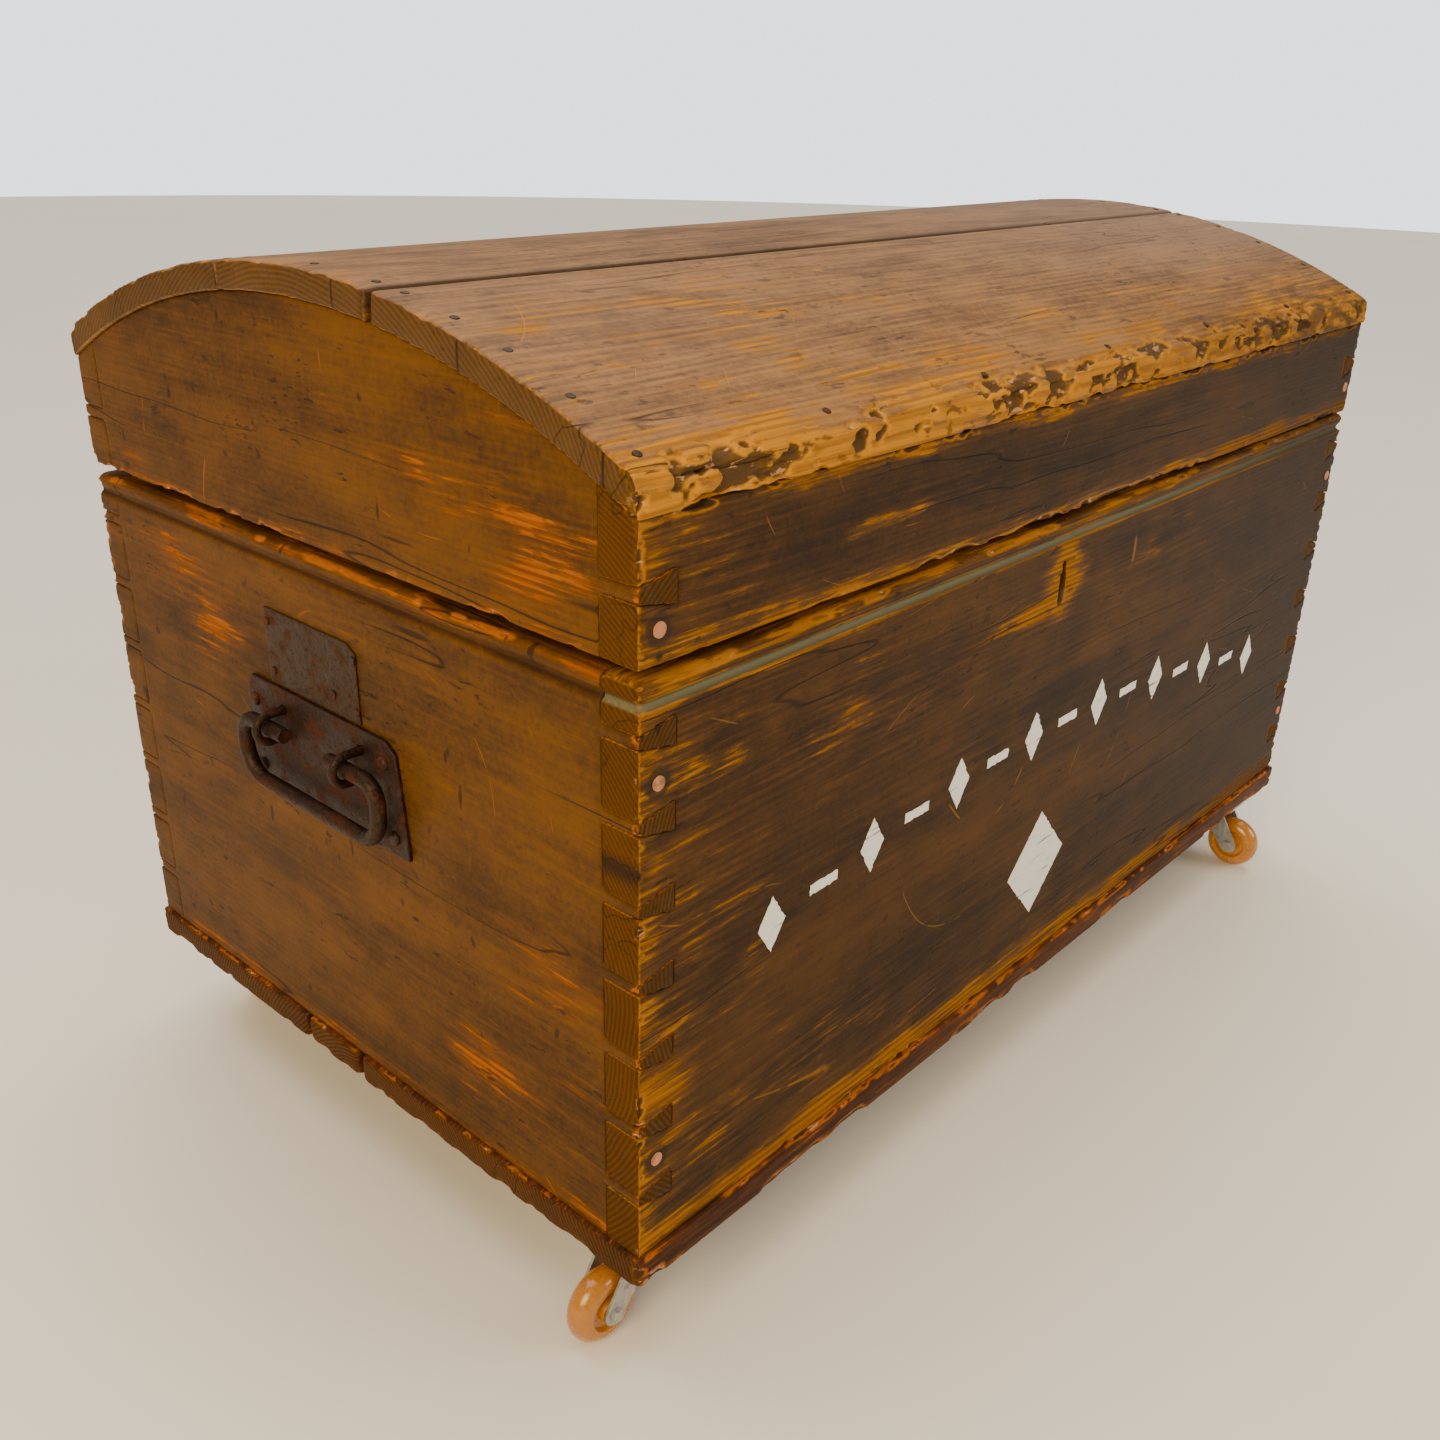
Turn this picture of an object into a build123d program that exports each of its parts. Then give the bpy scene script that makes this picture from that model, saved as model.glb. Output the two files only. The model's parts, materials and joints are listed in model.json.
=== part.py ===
from build123d import *

import os
from math import atan2, cos, degrees, radians, sin, sqrt, tan

# Dome-topped wooden footlocker on four swivel casters, in millimetres.
# +X runs to the right along the front, +Y to the back, +Z up.  The origin lies on the floor, under
# the middle of the bounding box.  Heights of the woodwork are counted from the bottom of the walls.

os.makedirs("parts", exist_ok=True)

# ---------------------------------------------------------------- driving dimensions
LENGTH = 909  # outside of the carcase, end face to end face
DEPTH = 544  # outside of the carcase, front face to back face
BOARD = 27  # thickness of the walls, the lid's rails and the lid's end panels
WALL_HEIGHT = 360

PIN_COUNT = 7  # dovetail pins of each carcase corner
PIN_PITCH = 47.8
FIRST_PIN = 42.5  # centre of the lowest pin
PIN_NARROW = 7  # width at the board's end
PIN_WIDE = 17.5  # width at the baseline

BEAD = 11.8  # height of the half-round bead along the top of the walls
QUIRK = 3.4  # height of the groove below it
QUIRK_DEPTH = 3

BASE_THICK = 22
BASE_PROUD = 3  # the base planks stand out past the walls
BASE_JOINTS = (273.5, 337)  # centres of the joints between the planks, from the front face
BASE_JOINT_GAPS = (5, 2)

GAP_LEFT = 6.5  # the lid has warped: its gap to the walls narrows from left to right
GAP_RIGHT = 1.5
RAIL_TOP = 440  # height at which the dome springs from the rails' outer faces
DOME_RISE = 68.5
PLANK = 17  # thickness of the dome's planks
PLANK_PROUD = 1.3  # overhang past the rails' outer faces
PLANK_END = 2.5  # overhang past the end panels
PLANK_ROUND = 7  # of the dome's long front and back edges
OPEN_JOINT = (190, 195.5)  # wide joint between the front and the middle plank, from the front face
TIGHT_JOINT = (341, 341.6)
LID_PIN = 404  # centre of the lid's only dovetail pin
LID_PIN_NARROW = 8
LID_PIN_WIDE = 19

HINGE_AXIS = 363  # height of the hinge's pin
HINGE_INSET = 7  # the pin's distance from the back face
HINGE_X = 270  # the hinges stand this far left and right of the middle
LEAF_WIDTH = 64
LEAF = 3  # thickness
LEAF_GAP = 1  # between the closed leaves
LEAF_REACH = 24  # from the pin's axis into the chest
KNUCKLE_R = 5.5
KNUCKLE_CLEAR = 0.5
HINGE_PIN_R = 2.5
PIN_PLAY = 0.05
BACK_BEVEL = 52.5  # of both back edges; they meet when the lid is open by twice this angle

NAIL_INSET = 14  # of the nails at the corners and along the dome's long edges
LID_CORNER_NAILS = (385,)  # heights
BOX_CORNER_NAILS = (304, 66)

HANDLE_AXIS = 238  # height of the bail's pivot
HANDLE_Y = 278  # middle of the bail, from the front face
HANDLE_OUT = 14  # the pivot's distance from the end face
BAIL_R = 5.25
BAIL_HALF_WIDTH = 73  # to the centres of the legs
BAIL_DROP = 41
BAIL_TIP = 24  # the inward ends stop this far from the middle
EYE_Y = 42  # the eyes' distance from the middle
EYE_R = 6.2  # inside radius of an eye
EYE_WIRE_R = 3
EYE_LEG = 18  # the staples' legs reach this far into the wall
HANDLE_PLATE = 3
PATCH_PLATE = 1.5

CASTER_HEIGHT = 68
WHEEL_R = 25
WHEEL_WIDTH = 19
TRAIL = 27  # from the swivel axis to the axle
AXLE_R = 3
FORK_INSIDE = 11.5  # from the wheel's middle plane to a leg
FORK_SHEET = 2
CROWN_Z = (57.8, 61.2)
CROWN_R = 17
RACE_R = 15
CASTER_PLATE = 56
CASTER_SHEET = 2.5
CASTER_SCREW = 20.5  # the screws' distance from the plate's middle, both ways
KINGPIN_R = 5

LOCK_X = -46.5  # middle of the lock and the keyhole
LOCK_Z = 320
LOCK_SIZE = (96, 66)
LOCK_PLATE = 2
LOCK_DEPTH = 18
CASE_SHEET = 1.5
BOLT = (50, 5, 8)
LUG_THICK = 4
CATCH_PLATE = 2.5

# ---------------------------------------------------------------- derived places
# name: distance of the swivel axis from the end face and from the front face, and the direction in
# which the wheel trails at rest
CASTERS = {
    "front_left": (-LENGTH / 2 + 32, 38, 180),
    "front_right": (LENGTH / 2 - 60, 29, 270),
    "back_left": (-LENGTH / 2 + 34, DEPTH - 36, 0),
    "back_right": (LENGTH / 2 - 38, DEPTH - 36, 205),
}
FRONT_REACH = WHEEL_R + TRAIL - CASTERS["front_right"][1]  # the front right wheel stands out in front
FRONT = -(DEPTH + FRONT_REACH + BASE_PROUD) / 2 + FRONT_REACH
BACK = FRONT + DEPTH
LEFT = -LENGTH / 2
RIGHT = LENGTH / 2

WALL_BOTTOM = CASTER_HEIGHT + BASE_THICK
WALL_TOP = WALL_BOTTOM + WALL_HEIGHT

DOME_Y = (FRONT + BACK) / 2
DOME_R = (DEPTH**2 / 4 + DOME_RISE**2) / (2 * DOME_RISE)
DOME_Z = WALL_BOTTOM + RAIL_TOP + DOME_RISE - DOME_R
DOME_OUT_R = DOME_R + PLANK
DOME_AXIS = Plane(origin=(LEFT, DOME_Y, DOME_Z), x_dir=(0, 1, 0), z_dir=(1, 0, 0))

HINGE_Y = BACK - HINGE_INSET
HINGE_Z = WALL_BOTTOM + HINGE_AXIS
EYE_Z = WALL_BOTTOM + HANDLE_AXIS
BAIL_Y = FRONT + HANDLE_Y
INNER_FRONT = FRONT + BOARD

# Planes that look at a face from outside: x along the face, y up
FRONT_FACE = Plane(origin=(LEFT, FRONT, WALL_BOTTOM), x_dir=(1, 0, 0), z_dir=(0, -1, 0))
LEFT_FACE = Plane(origin=(LEFT, BACK, WALL_BOTTOM), x_dir=(0, -1, 0), z_dir=(-1, 0, 0))


# ---------------------------------------------------------------- helpers
def block(x_range, y_range, z_range, mode=Mode.ADD):
    """A box given by its lowest and highest X, Y and Z."""
    low = Vector(x_range[0], y_range[0], z_range[0])
    high = Vector(x_range[1], y_range[1], z_range[1])
    size = high - low
    with Locations((low + high) / 2):
        Box(size.X, size.Y, size.Z, mode=mode)


def finish(builder, name):
    """Label a finished piece and write it."""
    builder.part.label = name
    export_step(builder.part, f"parts/{name}.step")


def mirrored(source):
    """The same piece for the other end of the chest."""
    with BuildPart() as twin:
        mirror(source.part, about=Plane.YZ)
    return twin


def placed(template, locations):
    """A group of separate, identical pieces."""
    with BuildPart() as group:
        with Locations(*locations):
            add(template.part)
    return group


def carve(*others):
    """Cut away the space of other pieces, such as nails."""
    for other in others:
        add(other.part, mode=Mode.SUBTRACT)


def pin_outline(centre, narrow, wide):
    """A dovetail pin as the front face shows it: x from the board's end, y above the walls' bottom."""
    points = [
        (0, centre - narrow / 2),
        (BOARD, centre - wide / 2),
        (BOARD, centre + wide / 2),
        (0, centre + narrow / 2),
    ]
    Polygon(*points, align=None)


def pin_bars(centres, narrow, wide, plane, mode):
    """Dovetail pins or their sockets, through the thickness of the board behind a plane."""
    with BuildSketch(plane) as outlines:
        for centre in centres:
            pin_outline(centre, narrow, wide)
    extrude(outlines.sketch, amount=-BOARD, mode=mode)


def front_sockets(centres, narrow, wide):
    """Sockets at both ends of a board in the front, for the left and the right end board."""
    pin_bars(centres, narrow, wide, FRONT_FACE, Mode.SUBTRACT)
    right = Plane(origin=(RIGHT, FRONT + BOARD, WALL_BOTTOM), x_dir=(-1, 0, 0), z_dir=(0, 1, 0))
    pin_bars(centres, narrow, wide, right, Mode.SUBTRACT)


def left_pins(centres, narrow, wide):
    """Pins at the front and the back of the left end board."""
    pin_bars(centres, narrow, wide, FRONT_FACE, Mode.ADD)
    pin_bars(centres, narrow, wide, FRONT_FACE.offset(BOARD - DEPTH), Mode.ADD)


def cut_bead(start, inward, along, length):
    """Work the quirk and the half-round bead along a wall's top edge.

    start is a corner of the top edge, inward points into the wood, along follows the edge.
    """
    radius = BEAD / 2
    with BuildSketch(Plane(origin=start, x_dir=inward, z_dir=along)) as profile:
        with BuildLine():
            Polyline((radius, 0), (radius, 1), (-1, 1), (-1, -BEAD), (radius, -BEAD))
            CenterArc((radius, -radius), radius, 90, 180)
        make_face()
        with Locations((QUIRK_DEPTH / 2 - 0.5, -BEAD - QUIRK / 2)):
            Rectangle(QUIRK_DEPTH + 1, QUIRK)
    extrude(profile.sketch, amount=length, mode=Mode.SUBTRACT)


def cut_end_beads():
    """The bead of both end faces."""
    cut_bead((LEFT, BACK, WALL_TOP), (1, 0, 0), (0, -1, 0), DEPTH)
    cut_bead((RIGHT, FRONT, WALL_TOP), (-1, 0, 0), (0, 1, 0), DEPTH)


def lid_bottom(x):
    """Height of the warped lid's lower edge."""
    share = (x - LEFT) / LENGTH
    return WALL_HEIGHT + GAP_LEFT + (GAP_RIGHT - GAP_LEFT) * share


def trim_lid_board():
    """Round a lid board's top to the dome and cut its bottom to the warped lower edge."""
    with BuildSketch(DOME_AXIS) as dome:
        Circle(DOME_R)
    extrude(dome.sketch, amount=LENGTH, mode=Mode.INTERSECT)
    low = WALL_HEIGHT - 20
    with BuildSketch(FRONT_FACE.offset(1)) as waste:
        Polygon((0, low), (LENGTH, low), (LENGTH, lid_bottom(RIGHT)), (0, lid_bottom(LEFT)), align=None)
    extrude(waste.sketch, amount=-DEPTH - 2, mode=Mode.SUBTRACT)


def bevel_back_edge(direction):
    """Bevel a back edge outward from the hinge's axis: direction is 1 for the lid, -1 for the wall."""
    reach = HINGE_INSET + 3
    rise = reach * tan(radians(BACK_BEVEL))
    corners = [(0, 0), (reach, direction * rise), (reach, -direction * rise), (0, -direction * rise)]
    with BuildSketch(Plane(origin=(LEFT, HINGE_Y, HINGE_Z), x_dir=(0, 1, 0), z_dir=(1, 0, 0))) as waste:
        Polygon(*corners, align=None)
    extrude(waste.sketch, amount=LENGTH, mode=Mode.SUBTRACT)


def hinge_recesses():
    """Cut the space of both hinges' knuckles and closed leaves."""
    depth = LEAF_GAP / 2 + LEAF
    for x in (-HINGE_X, HINGE_X):
        span = (x - LEAF_WIDTH / 2, x + LEAF_WIDTH / 2)
        block(span, (HINGE_Y - LEAF_REACH, HINGE_Y), (HINGE_Z - depth, HINGE_Z + depth), mode=Mode.SUBTRACT)
        with BuildSketch(Plane.YZ.offset(span[0] - 0.5)) as round_space:
            with Locations((HINGE_Y, HINGE_Z)):
                Circle(KNUCKLE_R + KNUCKLE_CLEAR)
        extrude(round_space.sketch, amount=LEAF_WIDTH + 1, mode=Mode.SUBTRACT)


def dome_point(y_from_front, radius):
    """The point (y, z) of the dome's cross-section on an arc of this radius."""
    y = FRONT + y_from_front
    return (y, DOME_Z + sqrt(radius**2 - (y - DOME_Y) ** 2))


def dome_angle(y_from_front):
    """Polar angle of a place on the dome's outer surface."""
    y, z = dome_point(y_from_front, DOME_OUT_R)
    return atan2(z - DOME_Z, y - DOME_Y)


def polar(radius, angle):
    """A point (y, z) about the dome's centre."""
    return (DOME_Y + radius * cos(angle), DOME_Z + radius * sin(angle))


def dome_plank(near, far):
    """A plank of the dome between two places measured from the front face, with radial sides."""
    first = dome_angle(near)
    last = dome_angle(far)
    sweep_angle = degrees(last - first)
    with BuildSketch(Plane.YZ.offset(LEFT - PLANK_END)) as section:
        with BuildLine():
            for radius in (DOME_R, DOME_OUT_R):
                CenterArc((DOME_Y, DOME_Z), radius, degrees(first), sweep_angle)
            for angle in (first, last):
                Line(polar(DOME_R, angle), polar(DOME_OUT_R, angle))
        make_face()
    extrude(section.sketch, amount=LENGTH + 2 * PLANK_END)


def edge_plank(face_y, joint, outward):
    """A plank at the front or the back of the dome, with a plumb outer edge just past the rail's face."""
    edge = face_y + outward * PLANK_PROUD
    low = (edge, DOME_Z + sqrt(DOME_R**2 - (edge - DOME_Y) ** 2))
    high = (edge, DOME_Z + sqrt(DOME_OUT_R**2 - (edge - DOME_Y) ** 2))
    side = dome_angle(joint)
    with BuildSketch(Plane.YZ.offset(LEFT - PLANK_END)) as section:
        with BuildLine():
            for radius, end in ((DOME_R, low), (DOME_OUT_R, high)):
                start = atan2(end[1] - DOME_Z, end[0] - DOME_Y)
                CenterArc((DOME_Y, DOME_Z), radius, degrees(start), degrees(side - start))
            Line(low, high)
            Line(polar(DOME_R, side), polar(DOME_OUT_R, side))
        make_face()
    extrude(section.sketch, amount=LENGTH + 2 * PLANK_END)
    top_edge = edges().filter_by(Axis.X).sort_by_distance((0, edge, high[1]))[0]
    fillet(top_edge, radius=PLANK_ROUND)


# ---------------------------------------------------------------- fastener templates
def headed(head_r, head_h, shank_r, shank_length, rounding):
    """A screw or nail that stands in +Z: its head sits on Z = 0 and its shank runs down.

    rounding is the share of the head's height that is rounded off.
    """
    with BuildPart() as fastener:
        Cylinder(head_r, head_h, align=(Align.CENTER, Align.CENTER, Align.MIN))
        fillet(edges().sort_by(Axis.Z)[-1], radius=head_h * rounding)
        Cylinder(shank_r, shank_length, align=(Align.CENTER, Align.CENTER, Align.MAX))
    return fastener


NAIL_HEAD = 1.3
nail = headed(2.6, NAIL_HEAD, 1.5, 34, 0.45)
small_nail = headed(2.6, 1.2, 1.1, 16, 0.45)
wood_screw = headed(4.4, 2.4, 2.3, 18, 0.8)
small_screw = headed(3, 1.6, 1.6, 14, 0.7)
plug_nail = headed(4.2, 0.8, 1.8, 40, 0.4)


def facing(point, outward, upward=(0, 0, 1)):
    """A location whose +Z points outward from a surface."""
    normal = Vector(*outward)
    across = Vector(*upward).cross(normal)
    if across.length < 0.1:
        across = Vector(1, 0, 0)
    return Plane(origin=point, x_dir=across, z_dir=normal).location


# ---------------------------------------------------------------- fasteners
def dome_nail_places():
    """Nails through the dome's planks: into both end panels, and into the front and back rails.

    They are driven home, so their heads stand only just proud.
    """
    places = []
    sunk = DOME_OUT_R - NAIL_HEAD + 0.25
    for x in (LEFT + BOARD / 2, RIGHT - BOARD / 2):
        for distance in (14, 58, 102, 142, 182, 206, 262, 330, 353, 402, 462, 530):
            angle = dome_angle(distance)
            y, z = polar(sunk, angle)
            places.append(facing((x, y, z), (0, cos(angle), sin(angle))))
    for distance in (NAIL_INSET, DEPTH - NAIL_INSET):
        angle = dome_angle(distance)
        y, z = polar(sunk, angle)
        for step in range(5):
            x = LEFT + LENGTH * (step + 1) / 6
            places.append(facing((x, y, z), (0, cos(angle), sin(angle))))
    return places


def corner_nail_places(face_y, outward, heights):
    """Nails through the corners of a front or back board."""
    places = []
    for x in (LEFT + NAIL_INSET, RIGHT - NAIL_INSET):
        for height in heights:
            places.append(facing((x, face_y, WALL_BOTTOM + height), (0, outward, 0)))
    return places


def base_nail_places():
    """Nails up through the base planks into the walls, driven home so that their heads lie flush."""
    places = []
    sunk = CASTER_HEIGHT + NAIL_HEAD
    for y in (FRONT + BOARD / 2, BACK - BOARD / 2):
        for step in range(5):
            x = LEFT + 130 + (LENGTH - 260) * step / 4
            places.append(facing((x, y, sunk), (0, 0, -1)))
    for x in (LEFT + BOARD / 2, RIGHT - BOARD / 2):
        for distance in (110, 190, 290, 320, 400, 450):
            places.append(facing((x, FRONT + distance, sunk), (0, 0, -1)))
    return places


lid_corner_places = []
box_corner_places = []
for face_y, outward in ((FRONT, -1), (BACK, 1)):
    lid_corner_places += corner_nail_places(face_y, outward, LID_CORNER_NAILS)
    box_corner_places += corner_nail_places(face_y, outward, BOX_CORNER_NAILS)

lid_nails = placed(nail, dome_nail_places())
lid_corner_nails = placed(plug_nail, lid_corner_places)
box_corner_nails = placed(plug_nail, box_corner_places)
base_nails = placed(nail, base_nail_places())

finish(lid_nails, "lid_nails")
finish(lid_corner_nails, "lid_corner_nails")
finish(box_corner_nails, "box_corner_nails")
finish(base_nails, "base_nails")

PLATE_SCREWS = ((-66, 9), (75, 7), (-72, -40), (74, -40))  # from the bail's middle and its pivot
PATCH_NAILS = ((-41, 67), (52, 67), (-41, 33), (50, 34), (-17, 38))

handle_screw_places = []
for across, up in PLATE_SCREWS:
    handle_screw_places.append(facing((LEFT - HANDLE_PLATE, BAIL_Y + across, EYE_Z + up), (-1, 0, 0)))
left_handle_screws = placed(wood_screw, handle_screw_places)
patch_nail_places = []
for across, up in PATCH_NAILS:
    patch_nail_places.append(facing((LEFT - PATCH_PLATE, BAIL_Y + across, EYE_Z + up), (-1, 0, 0)))
left_patch_nails = placed(small_nail, patch_nail_places)


# ---------------------------------------------------------------- handles
def left_staple(y):
    """An eye for the bail: a wire bent round the pivot, its legs driven through the plate."""
    leg = EYE_R + EYE_WIRE_R
    pivot_x = LEFT - HANDLE_OUT
    with BuildLine(Plane(origin=(0, y, EYE_Z), x_dir=(1, 0, 0), z_dir=(0, -1, 0))) as path:
        Line((LEFT + EYE_LEG, leg), (pivot_x, leg))
        CenterArc((pivot_x, 0), leg, 90, 180)
        Line((pivot_x, -leg), (LEFT + EYE_LEG, -leg))
    start = Plane(origin=(LEFT + EYE_LEG, y, EYE_Z + leg), x_dir=(0, 1, 0), z_dir=(-1, 0, 0))
    with BuildSketch(start) as section:
        Circle(EYE_WIRE_R)
    sweep(section.sketch, path=path.wire())


with BuildPart() as left_handle_staples:
    for side in (-1, 1):
        left_staple(BAIL_Y + side * EYE_Y)

with BuildPart() as left_handle_plate:
    with BuildSketch(LEFT_FACE):
        near = BACK - (FRONT + 196)
        far = BACK - (FRONT + 362)
        with BuildLine():
            Polyline(
                (near + 3, 186), (near + 3, 192), (near - 4, 255), (near - 14, 262), (far + 6, 262),
                (far, 250), (far, 192), (far + 6, 186), close=True,
            )
        make_face()
    extrude(amount=HANDLE_PLATE)
    carve(left_handle_screws, left_handle_staples)

with BuildPart() as left_patch_plate:
    with BuildSketch(LEFT_FACE):
        near = BACK - (FRONT + 235)
        far = BACK - (FRONT + 333)
        with BuildLine():
            Polyline((near, 263), (near, 309), (near - 9, 314.5), (far, 314.5), (far, 263), close=True)
        make_face()
    extrude(amount=PATCH_PLATE)
    carve(left_patch_nails)

with BuildPart() as left_bail:
    bail_plane = Plane(origin=(LEFT - HANDLE_OUT, BAIL_Y, EYE_Z), x_dir=(0, 1, 0), z_dir=(1, 0, 0))
    with BuildLine(bail_plane) as bail_path:
        FilletPolyline(
            (-BAIL_TIP, 0), (-BAIL_HALF_WIDTH, 0), (-BAIL_HALF_WIDTH, -BAIL_DROP),
            (BAIL_HALF_WIDTH, -BAIL_DROP), (BAIL_HALF_WIDTH, 0), (BAIL_TIP, 0),
            radius=[13, 20, 20, 13],
        )
    tip = (LEFT - HANDLE_OUT, BAIL_Y - BAIL_TIP, EYE_Z)
    with BuildSketch(Plane(origin=tip, x_dir=(1, 0, 0), z_dir=(0, -1, 0))):
        Circle(BAIL_R)
    sweep(path=bail_path.wire())

handle_pieces = {
    "handle_plate": left_handle_plate,
    "patch_plate": left_patch_plate,
    "handle_staples": left_handle_staples,
    "bail": left_bail,
}
for piece_name, piece in handle_pieces.items():
    finish(piece, f"left_{piece_name}")
    finish(mirrored(piece), f"right_{piece_name}")
for group_name, left_group in (("handle_screws", left_handle_screws), ("patch_nails", left_patch_nails)):
    with BuildPart() as both_ends:
        add(left_group.part)
        mirror(left_group.part, about=Plane.YZ)
    finish(both_ends, group_name)


# ---------------------------------------------------------------- hinges
def leaf(centre, direction):
    """A hinge leaf beside the pin: direction is 1 for the lid's leaf and -1 for the wall's."""
    near_z = HINGE_Z + direction * LEAF_GAP / 2
    far_z = HINGE_Z + direction * (LEAF_GAP / 2 + LEAF)
    span = (centre - LEAF_WIDTH / 2, centre + LEAF_WIDTH / 2)
    block(span, (HINGE_Y - LEAF_REACH, HINGE_Y), (min(near_z, far_z), max(near_z, far_z)))


def knuckle(low_x, high_x, mode=Mode.ADD, radius=KNUCKLE_R):
    """A stretch of barrel round the hinge's axis."""
    with BuildSketch(Plane.YZ.offset(low_x)) as section:
        with Locations((HINGE_Y, HINGE_Z)):
            Circle(radius)
    extrude(section.sketch, amount=high_x - low_x, mode=mode)


KNUCKLE = LEAF_WIDTH / 5  # five knuckles share the width of a leaf
KNUCKLE_GAP = 0.3


def hinge_leaf(centre, direction, own):
    """A leaf with its own knuckles, cleared for the other leaf's and bored for the pin."""
    start = centre - LEAF_WIDTH / 2
    leaf(centre, direction)
    for index in range(5):
        low_x = start + index * KNUCKLE
        high_x = low_x + KNUCKLE
        if index in own:
            knuckle(low_x + (KNUCKLE_GAP if index else 0), high_x - (KNUCKLE_GAP if index < 4 else 0))
    for index in range(5):
        if index not in own:
            low_x = start + index * KNUCKLE
            knuckle(low_x, low_x + KNUCKLE, Mode.SUBTRACT, KNUCKLE_R + KNUCKLE_GAP)
    bore = HINGE_PIN_R + (PIN_PLAY if direction > 0 else 0)
    knuckle(start - 1, start + LEAF_WIDTH + 1, Mode.SUBTRACT, bore)


def hinge_screw_places(direction):
    """Three screws in each leaf, heads on the leaf's inner face, which is countersunk for them."""
    places = []
    for centre in (-HINGE_X, HINGE_X):
        for step in (-20, 0, 20):
            point = (centre + step, HINGE_Y - 16, HINGE_Z + direction * (LEAF_GAP / 2 + 1.6))
            places.append(facing(point, (0, 0, -direction)))
    return places


hinge_lower_screws = placed(small_screw, hinge_screw_places(-1))
hinge_upper_screws = placed(small_screw, hinge_screw_places(1))
finish(hinge_lower_screws, "hinge_lower_screws")
finish(hinge_upper_screws, "hinge_upper_screws")

for hinge_name, hinge_x in (("left", -HINGE_X), ("right", HINGE_X)):
    with BuildPart() as lower_leaf:
        hinge_leaf(hinge_x, -1, (0, 2, 4))
        carve(hinge_lower_screws)
    finish(lower_leaf, f"{hinge_name}_hinge_lower_leaf")
    with BuildPart() as upper_leaf:
        hinge_leaf(hinge_x, 1, (1, 3))
        carve(hinge_upper_screws)
    finish(upper_leaf, f"{hinge_name}_hinge_upper_leaf")
    with BuildPart() as hinge_pin:
        knuckle(hinge_x - LEAF_WIDTH / 2, hinge_x + LEAF_WIDTH / 2, radius=HINGE_PIN_R)
    finish(hinge_pin, f"{hinge_name}_hinge_pin")


# ---------------------------------------------------------------- lock
LOCK_BOTTOM = WALL_BOTTOM + LOCK_Z - LOCK_SIZE[1] / 2
LOCK_TOP = WALL_BOTTOM + LOCK_Z + LOCK_SIZE[1] / 2
LOCK_LEFT = LOCK_X - LOCK_SIZE[0] / 2
LOCK_RIGHT = LOCK_X + LOCK_SIZE[0] / 2
LUG_X = LOCK_X + 22
LUG_Y = (INNER_FRONT + LOCK_PLATE + 2, INNER_FRONT + LOCK_DEPTH - CASE_SHEET - 2)
BOLT_Y = sum(LUG_Y) / 2
BOLT_Z = WALL_BOTTOM + 343
BOLT_TIP = LUG_X - LUG_THICK / 2 - 3

lock_screw_places = []
for x in (LOCK_LEFT + 5, LOCK_RIGHT - 5):
    for z in (LOCK_BOTTOM + 5, LOCK_TOP - 5):
        lock_screw_places.append(facing((x, INNER_FRONT + LOCK_PLATE, z), (0, 1, 0)))
lock_screws = placed(small_screw, lock_screw_places)
finish(lock_screws, "lock_screws")


def keyhole(face_y, depth):
    """The keyhole: a tall slot with a narrower top, cut back from a plane that faces the front."""
    with BuildSketch(Plane(origin=(LOCK_X, face_y, WALL_BOTTOM), x_dir=(1, 0, 0), z_dir=(0, -1, 0))) as slot:
        with Locations((0, 310.5)):
            SlotOverall(25, 7.5, rotation=90)
        with Locations((0, 322)):
            SlotOverall(18, 4.6, rotation=90)
    extrude(slot.sketch, amount=-depth, mode=Mode.SUBTRACT)


with BuildPart() as lock_plate:
    block((LOCK_LEFT, LOCK_RIGHT), (INNER_FRONT, INNER_FRONT + LOCK_PLATE), (LOCK_BOTTOM, LOCK_TOP))
    keyhole(INNER_FRONT, LOCK_PLATE)
    carve(lock_screws)
finish(lock_plate, "lock_plate")

CASE_X = (LOCK_LEFT + 10, LOCK_RIGHT - 10)
CASE_Y = (INNER_FRONT + LOCK_PLATE, INNER_FRONT + LOCK_DEPTH)
with BuildPart() as lock_case:
    block(CASE_X, CASE_Y, (LOCK_BOTTOM, LOCK_TOP))
    block(
        (CASE_X[0] + CASE_SHEET, CASE_X[1] - CASE_SHEET),
        (CASE_Y[0] - 1, CASE_Y[1] - CASE_SHEET),
        (LOCK_BOTTOM + CASE_SHEET, LOCK_TOP - CASE_SHEET),
        mode=Mode.SUBTRACT,
    )
    # the slot that lets the lid's lug in
    block(
        (LUG_X - LUG_THICK / 2 - 1.5, LUG_X + LUG_THICK / 2 + 1.5),
        (LUG_Y[0] - 1.5, LUG_Y[1] + 1.5),
        (LOCK_TOP - 3, LOCK_TOP + 1),
        mode=Mode.SUBTRACT,
    )
    # two ribs guide the bolt
    for rib_x in (BOLT_TIP - 8, BOLT_TIP - 38):
        block((rib_x, rib_x + 4), (CASE_Y[0], CASE_Y[1] - 1), (BOLT_Z - 9, BOLT_Z + 7))
    block(
        (BOLT_TIP - 45, BOLT_TIP),
        (BOLT_Y - BOLT[1] / 2 - 0.2, BOLT_Y + BOLT[1] / 2 + 0.2),
        (BOLT_Z - BOLT[2] / 2 - 0.2, BOLT_Z + BOLT[2] / 2 + 0.2),
        mode=Mode.SUBTRACT,
    )
finish(lock_case, "lock_case")

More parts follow.
